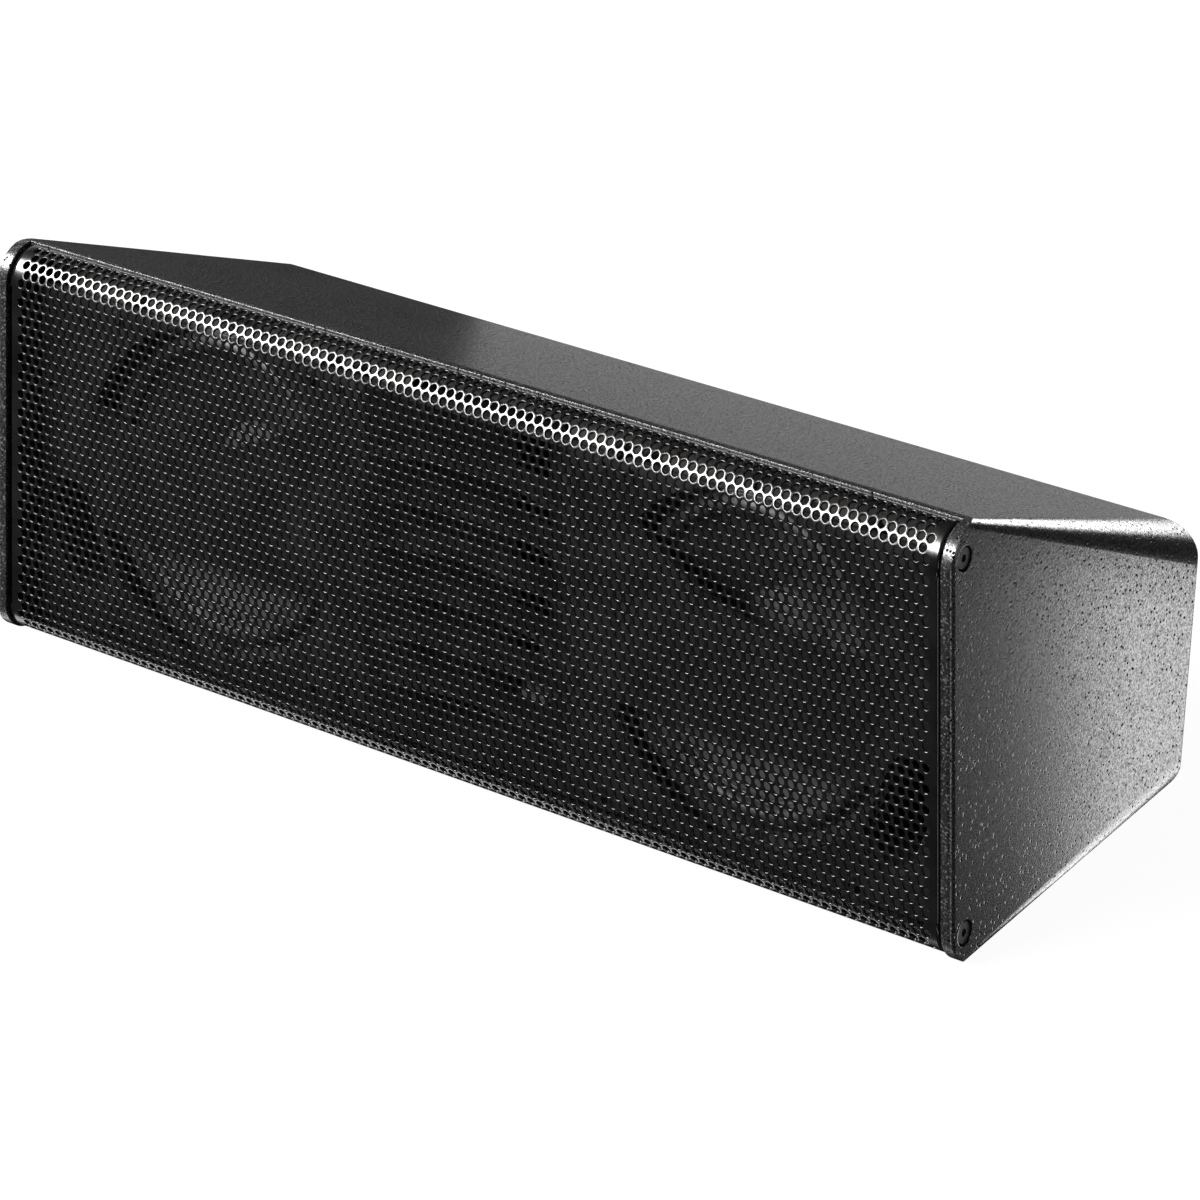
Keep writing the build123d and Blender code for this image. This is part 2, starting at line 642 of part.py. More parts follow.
with BuildPart() as horn:
    add(passage(horn_front, horn_rear, HORN_WALL))
    with BuildSketch(facing_front(PLATE_DEPTH)):
        with Locations((0, (PLATE_BOTTOM_Z + PLATE_TOP_Z) / 2)):
            Rectangle(2 * HORN_FLANGE_HALF_W, PLATE_TOP_Z - PLATE_BOTTOM_Z)
    extrude(amount=-PLATE_T)
    with BuildSketch(facing_front(PLATE_DEPTH + PLATE_T)):
        with Locations(*horn_posts):
            Circle(POST_R)
    extrude(amount=PLATE_DEPTH + PLATE_T - BAFFLE_DEPTH)
    with BuildSketch(facing_front(HORN_THROAT_DEPTH, z=HF_Z)):
        Rectangle(COUPLER_FLANGE_W, COUPLER_FLANGE_H)
        with Locations(*coupler_corners):
            Circle(M4_SHANK_R + THREAD_FIT, mode=Mode.SUBTRACT)
    extrude(amount=COUPLER_FLANGE_T)
    add(passage(horn_front, horn_rear, 0), mode=Mode.SUBTRACT)
    with BuildSketch(facing_front(PLATE_DEPTH)):
        with Locations(*horn_posts):
            Circle(M4_SHANK_R + HOLE_FIT)
    extrude(amount=PLATE_DEPTH - BAFFLE_DEPTH, mode=Mode.SUBTRACT)
save(horn, "horn")

vane_levels = [VANE_LOWEST_Z + row * VANE_PITCH for row in range(VANE_COUNT)]
with BuildPart() as horn_vanes:
    for level in vane_levels:
        with BuildSketch(facing_front(PLATE_DEPTH)):
            with BuildLine():
                half = HORN_MOUTH_W / 2
                end_z = level - VANE_RISE
                lower = ThreePointArc((-half, end_z), (0, level), (half, end_z))
                upper = ThreePointArc((half, end_z + VANE_T), (0, level + VANE_T), (-half, end_z + VANE_T))
                Line(lower @ 1, upper @ 0)
                Line(upper @ 1, lower @ 0)
            make_face()
        extrude(amount=-VANE_CHORD)
    add(passage(horn_front, horn_rear, 0), mode=Mode.INTERSECT)
save(horn_vanes, "horn_vanes")

horn_seats = [facing_front(PLATE_DEPTH, x, z) for x, z in horn_posts]
horn_screws = socket_screws(horn_seats, M4_SHANK_R, plate_screw_length, M4_HEAD_R, M4_HEAD_H, M4_KEY_R)
save(horn_screws, "horn_screws")

# ================================================================ waveguide between horn and driver


def throat_passage(wall):
    """Duct from the horn's tall slot to the driver's round throat, grown by a wall."""
    with BuildPart() as duct:
        with BuildSketch(facing_front(HORN_THROAT_DEPTH, z=HF_Z)):
            RectangleRounded(HORN_SLOT_W + 2 * wall, HORN_SLOT_H + 2 * wall, THROAT_CORNER_R + wall)
        with BuildSketch(facing_front(HF_DEPTH, z=HF_Z)):
            Circle(THROAT_R + wall)
        loft()
    return duct.part


with BuildPart() as waveguide:
    add(throat_passage(HORN_WALL))
    with BuildSketch(facing_front(HORN_THROAT_DEPTH, z=HF_Z)):
        Rectangle(COUPLER_FLANGE_W, COUPLER_FLANGE_H)
        with Locations(*coupler_corners):
            Circle(M4_SHANK_R + HOLE_FIT, mode=Mode.SUBTRACT)
    extrude(amount=-COUPLER_FLANGE_T)
    with BuildSketch(facing_front(HF_DEPTH, z=HF_Z)):
        Circle(HF_R)
        with PolarLocations(HF_SCREW_R, HF_SCREWS, start_angle=HF_SCREW_START):
            Circle(M5_SHANK_R + HOLE_FIT, mode=Mode.SUBTRACT)
    extrude(amount=HF_FLANGE_T)
    add(throat_passage(0), mode=Mode.SUBTRACT)
save(waveguide, "waveguide")

coupler_seats = [
    Plane(origin=(x, at(HORN_THROAT_DEPTH + COUPLER_FLANGE_T), HF_Z + z), z_dir=(0, 1, 0))
    for x, z in coupler_corners
]
coupler_length = 2 * COUPLER_FLANGE_T - SCREW_SHORT
waveguide_screws = socket_screws(coupler_seats, M4_SHANK_R, coupler_length, M4_HEAD_R, M4_HEAD_H, M4_KEY_R)
save(waveguide_screws, "waveguide_screws")


# ================================================================ woofers
terminal_z = WOOFER_Z - LANDING_R
tab_front_y = at(TERMINAL_DEPTH + TERMINAL_D / 2)


def half_roll(radius, depth, roll_r, thickness, forward, plane):
    """Half of a thin ring, bulging to the front or the rear, about (radius, depth)."""
    sign = -1 if forward else 1
    with BuildSketch(plane) as roll:
        with Locations((radius, at(depth))):
            Circle(roll_r + thickness / 2)
            Circle(roll_r - thickness / 2, mode=Mode.SUBTRACT)
        with Locations((radius, at(depth) - sign * roll_r)):
            Rectangle(3 * roll_r, 2 * roll_r, mode=Mode.SUBTRACT)
    return roll.sketch


def build_woofer(name, x):
    """All the pieces of one woofer, about an axis that runs front to rear."""
    plane = Plane(origin=(x, 0, WOOFER_Z))  # its X is the radius, its Y the depth axis
    axis = Axis((x, 0, WOOFER_Z), (0, 1, 0))
    flange_front = BAFFLE_DEPTH - FLANGE_T
    top_plate_rear = TOP_PLATE_DEPTH + TOP_PLATE_T
    magnet_rear = top_plate_rear + MAGNET_T
    back_plate_rear = magnet_rear + BACK_PLATE_T

    with BuildPart() as basket:
        wall_points = [
            (FLANGE_INNER_R, at(flange_front)),
            (FLANGE_R, at(flange_front)),
            (FLANGE_R, at(BAFFLE_DEPTH)),
            (BASKET_R, at(BAFFLE_DEPTH)),
            (BASKET_R, at(BAFFLE_DEPTH + SHOULDER)),
            (LANDING_R, at(LANDING_DEPTH)),
            (LANDING_R, at(TOP_PLATE_DEPTH)),
            (TOP_PLATE_BORE_R + SEAT_LIP, at(TOP_PLATE_DEPTH)),
            (TOP_PLATE_BORE_R + SEAT_LIP, at(TOP_PLATE_DEPTH - BASKET_WALL)),
            (LANDING_R - BASKET_WALL, at(TOP_PLATE_DEPTH - BASKET_WALL)),
            (LANDING_R - BASKET_WALL, at(LANDING_DEPTH)),
            (FLANGE_INNER_R, at(BAFFLE_DEPTH + SHOULDER)),
        ]
        revolve(outline(wall_points, plane), axis=axis)
        with BuildSketch(facing_front(WINDOW_FRONT, x, WOOFER_Z)):
            with PolarLocations((LANDING_R + BASKET_R) / 2, WOOFER_SCREWS):
                Rectangle(WINDOW_W, WINDOW_H)
        extrude(amount=WINDOW_FRONT - WINDOW_REAR, mode=Mode.SUBTRACT)
        with BuildSketch(facing_front(flange_front, x, WOOFER_Z)):
            with PolarLocations(WOOFER_SCREW_R, WOOFER_SCREWS, start_angle=WOOFER_SCREW_START):
                Circle(M4_SHANK_R + HOLE_FIT)
        extrude(amount=-FLANGE_T, mode=Mode.SUBTRACT)
    save(basket, f"{name}_woofer_basket")

    with BuildPart() as gasket:
        with BuildSketch(facing_front(flange_front, x, WOOFER_Z)):
            Circle(FLANGE_R)
            Circle(ROLL_MID_R + ROLL_R + LIP_W + SURROUND_T, mode=Mode.SUBTRACT)
            with PolarLocations(WOOFER_SCREW_R, WOOFER_SCREWS, start_angle=WOOFER_SCREW_START):
                Circle(M4_HEAD_R + HOLE_FIT, mode=Mode.SUBTRACT)
        extrude(amount=GASKET_T)
    save(gasket, f"{name}_woofer_gasket")

    with BuildPart() as surround:
        lip_depth = flange_front - SURROUND_T / 2
        revolve(half_roll(ROLL_MID_R, lip_depth, ROLL_R, SURROUND_T, True, plane), axis=axis)
        with BuildSketch(plane):
            for lip_r in (ROLL_MID_R - ROLL_R - LIP_W / 2, ROLL_MID_R + ROLL_R + LIP_W / 2):
                with Locations((lip_r, at(lip_depth))):
                    Rectangle(LIP_W + SURROUND_T, SURROUND_T)
        revolve(axis=axis)
    save(surround, f"{name}_woofer_surround")

    cone_r = ROLL_MID_R - ROLL_R - SURROUND_T
    with BuildPart() as cone:
        cone_points = [
            (cone_r - LIP_W, at(flange_front)),
            (cone_r, at(flange_front)),
            (cone_r, at(flange_front + CONE_T)),
            (FORMER_R + CONE_NECK_T, at(CONE_REAR_DEPTH + CONE_T)),
            (FORMER_R, at(CONE_REAR_DEPTH + CONE_T)),
            (FORMER_R, at(CONE_REAR_DEPTH)),
        ]
        revolve(outline(cone_points, plane), axis=axis)
    save(cone, f"{name}_woofer_cone")

    cone_slope = (CONE_REAR_DEPTH - flange_front) / (cone_r - LIP_W - FORMER_R)
    cap_seat = CONE_REAR_DEPTH - (CAP_R - FORMER_R) * cone_slope
    with BuildPart() as dust_cap:
        with BuildSketch(plane):
            with BuildLine():
                rim_y = at(cap_seat)
                crown_y = at(cap_seat - CAP_RISE)
                front = ThreePointArc((-CAP_R, rim_y - CAP_T), (0, crown_y - CAP_T), (CAP_R, rim_y - CAP_T))
                rear = ThreePointArc((CAP_R, rim_y), (0, crown_y), (-CAP_R, rim_y))
                Line(front @ 1, rear @ 0)
                Line(rear @ 1, front @ 0)
            make_face()
            with Locations((-CAP_R, at(cap_seat))):
                Rectangle(2 * CAP_R, 6 * CAP_RISE, mode=Mode.SUBTRACT)
        revolve(axis=axis)
    save(dust_cap, f"{name}_woofer_dust_cap")

    with BuildPart() as voice_coil:
        coil_points = [
            (FORMER_R - FORMER_T, at(CONE_REAR_DEPTH)),
            (FORMER_R - GLUE_LINE, at(CONE_REAR_DEPTH)),
            (FORMER_R - GLUE_LINE, at(WINDING_FRONT)),
            (FORMER_R + WINDING_T, at(WINDING_FRONT)),
            (FORMER_R + WINDING_T, at(WINDING_REAR)),
            (FORMER_R - GLUE_LINE, at(WINDING_REAR)),
            (FORMER_R - GLUE_LINE, at(FORMER_REAR)),
            (FORMER_R - FORMER_T, at(FORMER_REAR)),
        ]
        revolve(outline(coil_points, plane), axis=axis)
    save(voice_coil, f"{name}_woofer_voice_coil")

    landing_r = LANDING_R - BASKET_WALL
    wave_w = (landing_r - FORMER_R - 2 * SPIDER_LIP) / SPIDER_WAVES
    with BuildPart() as spider:
        for wave in range(SPIDER_WAVES):
            wave_r = FORMER_R + SPIDER_LIP + (wave + 0.5) * wave_w
            revolve(half_roll(wave_r, SPIDER_DEPTH, wave_w / 2, SPIDER_T, wave % 2 == 0, plane), axis=axis)
        with BuildSketch(plane):
            for inner_r, outer_r in (
                (FORMER_R + THREAD_FIT, FORMER_R + SPIDER_LIP + SPIDER_T / 2),
                (landing_r - SPIDER_LIP - SPIDER_T / 2, landing_r - THREAD_FIT),
            ):
                with Locations(((inner_r + outer_r) / 2, at(SPIDER_DEPTH))):
                    Rectangle(outer_r - inner_r, SPIDER_T)
        revolve(axis=axis)
    save(spider, f"{name}_woofer_spider")

    with BuildPart() as top_plate:
        with BuildSketch(facing_front(TOP_PLATE_DEPTH, x, WOOFER_Z)):
            Circle(TOP_PLATE_R)
            Circle(TOP_PLATE_BORE_R, mode=Mode.SUBTRACT)
        extrude(amount=-TOP_PLATE_T)
    save(top_plate, f"{name}_woofer_top_plate")

    with BuildPart() as magnet:
        with BuildSketch(facing_front(top_plate_rear, x, WOOFER_Z)):
            Circle(MAGNET_R)
            Circle(MAGNET_BORE_R, mode=Mode.SUBTRACT)
        extrude(amount=-MAGNET_T)
        chamfer(magnet.edges().filter_by(GeomType.CIRCLE).sort_by(SortBy.RADIUS)[-2:], 1.5)
    save(magnet, f"{name}_woofer_magnet")

    with BuildPart() as back_plate:
        plate_points = [
            (POLE_VENT_R, at(TOP_PLATE_DEPTH - 1)),
            (POLE_R, at(TOP_PLATE_DEPTH - 1)),
            (POLE_R, at(magnet_rear)),
            (TOP_PLATE_R, at(magnet_rear)),
            (TOP_PLATE_R, at(back_plate_rear)),
            (POLE_VENT_R, at(back_plate_rear)),
        ]
        revolve(outline(plate_points, plane), axis=axis)
    save(back_plate, f"{name}_woofer_back_plate")

    with BuildPart() as terminals:
        with Locations((x, at(TERMINAL_DEPTH), terminal_z)):
            Box(TERMINAL_W, TERMINAL_D, TERMINAL_H, align=(Align.CENTER, Align.CENTER, Align.MAX))
        with Locations((x - TAB_X, tab_front_y, terminal_z), (x + TAB_X, tab_front_y, terminal_z)):
            Box(TAB_W, TAB_L, TAB_T, align=(Align.CENTER, Align.MIN, Align.MAX))
    save(terminals, f"{name}_woofer_terminals")

    screw_points = ring_points(WOOFER_SCREW_R, WOOFER_SCREWS, WOOFER_SCREW_START, (x, WOOFER_Z))
    seats = [facing_front(flange_front, screw_x, screw_z) for screw_x, screw_z in screw_points]
    screws = socket_screws(seats, M4_SHANK_R, FLANGE_T + M4_BITE, M4_HEAD_R, M4_HEAD_H, M4_KEY_R)
    save(screws, f"{name}_woofer_screws")


for name, side in SIDES:
    build_woofer(name, side * WOOFER_X)

# ================================================================ compression driver
hf_plane = Plane(origin=(0, 0, HF_Z))
hf_axis = Axis((0, 0, HF_Z), (0, 1, 0))
hf_plate_rear = HF_DEPTH + HF_FLANGE_T
hf_magnet_rear = hf_plate_rear + HF_MAGNET_T
hf_top_plate_rear = hf_magnet_rear + HF_TOP_PLATE_T
hf_screw_points = ring_points(HF_SCREW_R, HF_SCREWS, HF_SCREW_START, (0, HF_Z))

with BuildPart() as hf_pole_piece:
    pole_points = [
        (THROAT_R, at(HF_DEPTH)),
        (HF_R, at(HF_DEPTH)),
        (HF_R, at(hf_plate_rear)),
        (HF_POLE_R, at(hf_plate_rear)),
        (HF_POLE_R, at(HF_POLE_REAR)),
        (HF_BORE_REAR_R, at(HF_POLE_REAR)),
    ]
    revolve(outline(pole_points, hf_plane), axis=hf_axis)
    with BuildSketch(facing_front(HF_DEPTH)):
        with Locations(*hf_screw_points):
            Circle(M5_SHANK_R + THREAD_FIT)
    extrude(amount=-HF_FLANGE_T, mode=Mode.SUBTRACT)
save(hf_pole_piece, "hf_pole_piece")

with BuildPart() as hf_magnet:
    with BuildSketch(facing_front(hf_plate_rear, z=HF_Z)):
        Circle(HF_R)
        Circle(HF_MAGNET_BORE_R, mode=Mode.SUBTRACT)
    extrude(amount=-HF_MAGNET_T)
save(hf_magnet, "hf_magnet")

with BuildPart() as hf_top_plate:
    with BuildSketch(facing_front(hf_magnet_rear, z=HF_Z)):
        Circle(HF_R)
        Circle(HF_GAP_R, mode=Mode.SUBTRACT)
    extrude(amount=-HF_TOP_PLATE_T)
save(hf_top_plate, "hf_top_plate")

with BuildPart() as hf_phase_plug:
    plug_front = HF_POLE_REAR - PLUG_LENGTH
    bore_taper = (HF_BORE_REAR_R - THROAT_R) / (HF_POLE_REAR - HF_DEPTH)
    bore_r = HF_BORE_REAR_R - bore_taper * PLUG_LENGTH
    plug_points = [(0, at(plug_front)), (PLUG_R, at(HF_POLE_REAR)), (0, at(HF_POLE_REAR))]
    revolve(outline(plug_points, hf_plane), axis=hf_axis)
    ring_outline = [
        (HF_BORE_REAR_R - PLUG_RING_T, at(HF_POLE_REAR)),
        (HF_BORE_REAR_R - THREAD_FIT, at(HF_POLE_REAR)),
        (bore_r - THREAD_FIT, at(plug_front)),
        (bore_r - PLUG_RING_TIP_T, at(plug_front)),
    ]
    revolve(outline(ring_outline, hf_plane), axis=hf_axis)
    with BuildSketch(facing_front(HF_POLE_REAR, z=HF_Z)):
        with PolarLocations(PLUG_WEB_R, PLUG_WEBS):
            Rectangle(PLUG_WEB[0], PLUG_WEB[1])
    extrude(amount=PLUG_WEB[2])
save(hf_phase_plug, "hf_phase_plug")

dome_depth = hf_top_plate_rear + DOME_LIFT
with BuildPart() as hf_diaphragm:
    with BuildSketch(hf_plane):
        with BuildLine():
            rim_y = at(dome_depth)
            crown_y = at(dome_depth + DOME_RISE)
            inner = ThreePointArc((-HF_COIL_R, rim_y), (0, crown_y), (HF_COIL_R, rim_y))
            outer_y = rim_y + DOME_T
            outer = ThreePointArc((HF_COIL_R, outer_y), (0, crown_y + DOME_T), (-HF_COIL_R, outer_y))
            Line(inner @ 1, outer @ 0)
            Line(outer @ 1, inner @ 0)
        make_face()
        with Locations((-HF_COIL_R, at(dome_depth))):
            Rectangle(2 * HF_COIL_R, 6 * DOME_RISE, mode=Mode.SUBTRACT)
    revolve(axis=hf_axis)
save(hf_diaphragm, "hf_diaphragm")

with BuildPart() as hf_voice_coil:
    with BuildSketch(facing_front(dome_depth, z=HF_Z)):
        Circle(HF_COIL_R + HF_COIL_T / 2)
        Circle(HF_COIL_R - HF_COIL_T / 2, mode=Mode.SUBTRACT)
    extrude(amount=HF_COIL_L)
save(hf_voice_coil, "hf_voice_coil")

with BuildPart() as hf_suspension:
    with BuildSketch(facing_front(dome_depth, z=HF_Z)):
        Circle(SUSPENSION_R)
        Circle(HF_COIL_R + HF_COIL_T / 2 + THREAD_FIT, mode=Mode.SUBTRACT)
    extrude(amount=-DOME_T)
    with BuildSketch(facing_front(dome_depth, z=HF_Z)):
        Circle(SUSPENSION_R)
        Circle(SUSPENSION_R - CLAMP_W, mode=Mode.SUBTRACT)
    extrude(amount=dome_depth - hf_top_plate_rear)
save(hf_suspension, "hf_suspension")

with BuildPart() as hf_rear_cap:
    hf_cap_r = HF_R - CAP_STEP
    cap_rear = hf_top_plate_rear + CAP_DEPTH
    cap_points = [
        (SUSPENSION_R + CAP_STEP, at(hf_top_plate_rear)),
        (hf_cap_r, at(hf_top_plate_rear)),
        (hf_cap_r, at(cap_rear - CAP_CHAMFER)),
        (hf_cap_r - CAP_CHAMFER, at(cap_rear)),
        (0, at(cap_rear)),
        (0, at(cap_rear - CAP_WALL)),
        (SUSPENSION_R + CAP_STEP, at(cap_rear - CAP_WALL)),
    ]
    revolve(outline(cap_points, hf_plane), axis=hf_axis)
save(hf_rear_cap, "hf_rear_cap")

hf_seats = [facing_front(HF_DEPTH - HF_FLANGE_T, x, z) for x, z in hf_screw_points]
hf_screw_length = 2 * HF_FLANGE_T - SCREW_SHORT
hf_screws = socket_screws(hf_seats, M5_SHANK_R, hf_screw_length, M5_HEAD_R, M5_HEAD_H, M5_KEY_R)
save(hf_screws, "hf_driver_screws")

# ================================================================ connector panel
socket_spots = [(side * SOCKET_X, 0) for _, side in SIDES]
with BuildPart() as connector_panel:
    with BuildSketch(panel_seat):
        RectangleRounded(PANEL_W, PANEL_H, PANEL_R)
        with Locations(*socket_spots):
            Circle(SOCKET_BODY_R + HOLE_FIT, mode=Mode.SUBTRACT)
        with Locations(*panel_corners):
            Circle(M3_SHANK_R + HOLE_FIT, mode=Mode.SUBTRACT)
    extrude(amount=PANEL_T)
save(connector_panel, "connector_panel")

with BuildPart() as connector_sockets:
    with BuildSketch(panel_seat.offset(PANEL_T)):
        with Locations(*socket_spots):
            RectangleRounded(SOCKET_FLANGE, SOCKET_FLANGE, SOCKET_FLANGE_R)
    extrude(amount=SOCKET_FLANGE_T)
    with BuildSketch(panel_seat.offset(PANEL_T)):
        with Locations(*socket_spots):
            Circle(SOCKET_BODY_R)
    extrude(amount=-SOCKET_LENGTH)
    with BuildSketch(panel_seat.offset(PANEL_T + SOCKET_FLANGE_T)):
        with Locations(*socket_spots):
            Circle(SOCKET_WELL_R)
            Circle(SOCKET_CORE_R, mode=Mode.SUBTRACT)
    extrude(amount=-SOCKET_WELL_DEPTH, mode=Mode.SUBTRACT)
save(connector_sockets, "connector_sockets")

panel_face = panel_seat.offset(PANEL_T)
panel_screw_seats = [
    Plane(origin=panel_face.from_local_coords((u, v, 0)), x_dir=(1, 0, 0), z_dir=panel_face.z_dir)
    for u, v in panel_corners
]
panel_screws = socket_screws(panel_screw_seats, M3_SHANK_R, PANEL_T + M3_BITE, M3_HEAD_R, M3_HEAD_H, M3_KEY_R)
save(panel_screws, "connector_panel_screws")

# ================================================================ crossover
board_y = at(BOARD_DEPTH)
board_bottom = WALL + STANDOFF_H
board_top = board_bottom + BOARD_T
board_corners = [
    (BOARD_X + u, board_y + v)
    for u, v in corner_points(BOARD_W - 2 * BOARD_SCREW_INSET, BOARD_D - 2 * BOARD_SCREW_INSET)
]

with BuildPart() as crossover_board:
    with BuildSketch(Plane.XY.offset(board_bottom)):
        with Locations((BOARD_X, board_y)):
            Rectangle(BOARD_W, BOARD_D)
        with Locations(*board_corners):
            Circle(M3_SHANK_R + HOLE_FIT, mode=Mode.SUBTRACT)
    extrude(amount=BOARD_T)
save(crossover_board, "crossover_board")

with BuildPart() as standoffs:
    with BuildSketch(Plane.XY.offset(WALL)):
        with Locations(*board_corners):
            RegularPolygon(STANDOFF_R, 6)
            Circle(M3_SHANK_R + THREAD_FIT, mode=Mode.SUBTRACT)
    extrude(amount=STANDOFF_H)
save(standoffs, "crossover_standoffs")

board_seats = [Plane.XY.offset(board_top).shift_origin((x, y, board_top)) for x, y in board_corners]
board_screws = socket_screws(board_seats, M3_SHANK_R, BOARD_T + M3_BITE, M3_HEAD_R, M3_HEAD_H, M3_KEY_R)
save(board_screws, "crossover_screws")

with BuildPart() as inductors:
    with BuildSketch(Plane.XY.offset(board_top)):
        with Locations(*[(BOARD_X + u, board_y + v) for u, v in INDUCTORS]):
            Circle(INDUCTOR_R)
            Circle(INDUCTOR_BORE_R, mode=Mode.SUBTRACT)
    extrude(amount=INDUCTOR_H)
save(inductors, "crossover_inductors")

with BuildPart() as capacitors:
    with Locations(*[(BOARD_X + u, board_y + v, board_top + CAPACITOR_R) for u, v in CAPACITORS]):
        Cylinder(CAPACITOR_R, CAPACITOR_L, rotation=(0, 90, 0))
save(capacitors, "crossover_capacitors")

with BuildPart() as resistors:
    with Locations(*[(BOARD_X + u, board_y + v, board_top) for u, v in RESISTORS]):
        Box(RESISTOR_W, RESISTOR_L, RESISTOR_W, align=ON_SEAT)
save(resistors, "crossover_resistors")

# ================================================================ lining and wiring
pad_y = at((PAD_FRONT + PAD_REAR) / 2)
pad_z = (PAD_BOTTOM_Z + PAD_TOP_Z) / 2
with BuildPart() as damping_pads:
    for _, side in SIDES:
        with Locations((side * (INNER_X - PAD_T / 2), pad_y, pad_z)):
            Box(PAD_T, PAD_REAR - PAD_FRONT, PAD_TOP_Z - PAD_BOTTOM_Z)
save(damping_pads, "damping_pads")

wire_z = board_bottom + BOARD_T / 2
board_edge_x = BOARD_X - BOARD_W / 2 - HOLE_FIT
board_front_y = board_y - BOARD_D / 2 - HOLE_FIT
tab_x = WOOFER_X - TAB_X
tab_end_y = tab_front_y + TAB_L + HOLE_FIT
tab_z = terminal_z - TAB_T / 2
lead_y = tab_end_y + WIRE_LEAD
panel_wire = [
    (SOCKET_X, at(PANEL_WIRE_DEPTH), PANEL_Z),
    (SOCKET_X, at(PANEL_WIRE_DEPTH), wire_z),
    (board_edge_x - WIRE_LEAD, board_y, wire_z),
    (board_edge_x, board_y, wire_z),
]
right_wire = [
    (tab_x, tab_end_y, tab_z),
    (tab_x, lead_y, tab_z),
    (tab_x, board_front_y - WIRE_LEAD, wire_z),
    (tab_x, board_front_y, wire_z),
]
left_wire = [
    (-tab_x, tab_end_y, tab_z),
    (-tab_x, lead_y, tab_z),
    (-tab_x, at(LONG_WIRE_DEPTH), wire_z),
    (board_edge_x, at(LONG_WIRE_DEPTH), wire_z),
]
hf_wire = [
    (board_edge_x, at(HF_WIRE_DEPTH), wire_z),
    (0, at(HF_WIRE_DEPTH), wire_z),
    (0, at(HF_WIRE_DEPTH), HF_Z - hf_cap_r - HOLE_FIT),
]
with BuildPart() as wiring:
    for run in (panel_wire, right_wire, left_wire, hf_wire):
        with BuildLine() as path:
            FilletPolyline(*run, radius=WIRE_BEND)
        with BuildSketch(Plane(origin=path.line @ 0, z_dir=path.line % 0)):
            Circle(WIRE_R)
        sweep(path=path.line)
save(wiring, "internal_wiring")
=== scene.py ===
import json
import math

import bpy
import numpy as np
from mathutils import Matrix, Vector


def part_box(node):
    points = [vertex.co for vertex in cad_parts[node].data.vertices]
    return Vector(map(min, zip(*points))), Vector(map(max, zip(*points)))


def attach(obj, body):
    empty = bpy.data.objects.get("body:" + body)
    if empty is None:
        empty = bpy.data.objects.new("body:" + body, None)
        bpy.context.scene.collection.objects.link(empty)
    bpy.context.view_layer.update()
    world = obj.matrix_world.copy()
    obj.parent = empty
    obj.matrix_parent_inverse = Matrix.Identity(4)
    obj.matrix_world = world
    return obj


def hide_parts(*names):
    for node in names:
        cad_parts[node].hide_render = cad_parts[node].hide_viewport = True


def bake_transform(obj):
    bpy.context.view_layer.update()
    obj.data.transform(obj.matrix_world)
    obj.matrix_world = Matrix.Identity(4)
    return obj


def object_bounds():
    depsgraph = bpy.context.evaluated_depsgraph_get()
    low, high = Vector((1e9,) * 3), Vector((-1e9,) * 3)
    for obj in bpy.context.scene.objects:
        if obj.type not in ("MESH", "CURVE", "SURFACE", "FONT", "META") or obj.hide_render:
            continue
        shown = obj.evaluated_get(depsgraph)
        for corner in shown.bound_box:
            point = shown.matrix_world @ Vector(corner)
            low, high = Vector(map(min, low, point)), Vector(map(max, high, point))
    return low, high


# Line array speaker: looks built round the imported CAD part.
# Metres, in the CAD frame: +X right, +Y to the rear, +Z up.

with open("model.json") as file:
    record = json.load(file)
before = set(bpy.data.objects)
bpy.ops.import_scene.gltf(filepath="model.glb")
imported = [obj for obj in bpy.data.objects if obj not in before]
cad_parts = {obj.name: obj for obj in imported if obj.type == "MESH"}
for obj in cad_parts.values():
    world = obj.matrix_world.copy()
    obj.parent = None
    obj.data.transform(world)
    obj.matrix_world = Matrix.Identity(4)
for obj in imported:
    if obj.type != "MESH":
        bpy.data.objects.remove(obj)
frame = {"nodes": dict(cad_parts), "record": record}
CAD_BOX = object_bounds()

# ---------------------------------------------------------------- perforated sheet
SHEET_T = 0.0012
SHEET_R = 0.0151  # rounding of the sheet's top and bottom, outer face
HOLE_PITCH = 0.005
ROW_PITCH = HOLE_PITCH * math.sqrt(3) / 2
CELL_CORNER = HOLE_PITCH / math.sqrt(3)  # from a hole's centre to a corner of its cell
HOLE_R = 0.00194
RIM = 0.00022  # rounding of a punched edge
RIM_TURN = 0.3  # where the rim's rounding is broken, as a share of it
RIM_END = 1.2
HALF_COUNT = 52  # holes either side of the middle one, in the longer rows
FIRST_ROW_RISE = 0.00269  # arc above the end of the flat face
ROWS_ABOVE = 4
ROWS_BELOW = 39
CELL_POINTS = 12
BEND_R = 0.0015
BEND_STEPS = 4
RETURN_DEPTH = 0.012
RETURN_MARGIN = 0.0018  # the return flange ends this far inside the flat face
SAME_PLACE = 1e7  # places within a ten-millionth of a metre count as one

# ---------------------------------------------------------------- coating of the shell
PIT_PITCH = 0.003
GRAIN = 0.0009
SOFT_EDGE_R = 0.0007  # drawn rounding of the shell's edges
WORN_EDGE_W = 0.0006
BEVEL_SAMPLES = 4
DRIFT_IN_GRAINS = 40  # size of the broad colour drift
WAVE_PER_THREAD = 0.31

# ---------------------------------------------------------------- soft rings
RING_SEGMENTS = 96
ROLL_R = 0.004
ROLL_LIP = 0.0022
ROLL_T = 0.0008
ROLL_STEPS = 16
ROLL_LAND = 0.6  # flat share of the roll's lip
SPIDER_LIP = 0.0028
SPIDER_LAND = 0.7  # flat share of the spider's lip
SPIDER_LAP = 0.0007  # inner edge laps into the coil
SPIDER_WAVES = 5
SPIDER_T = 0.0005
WAVE_STEPS = 8

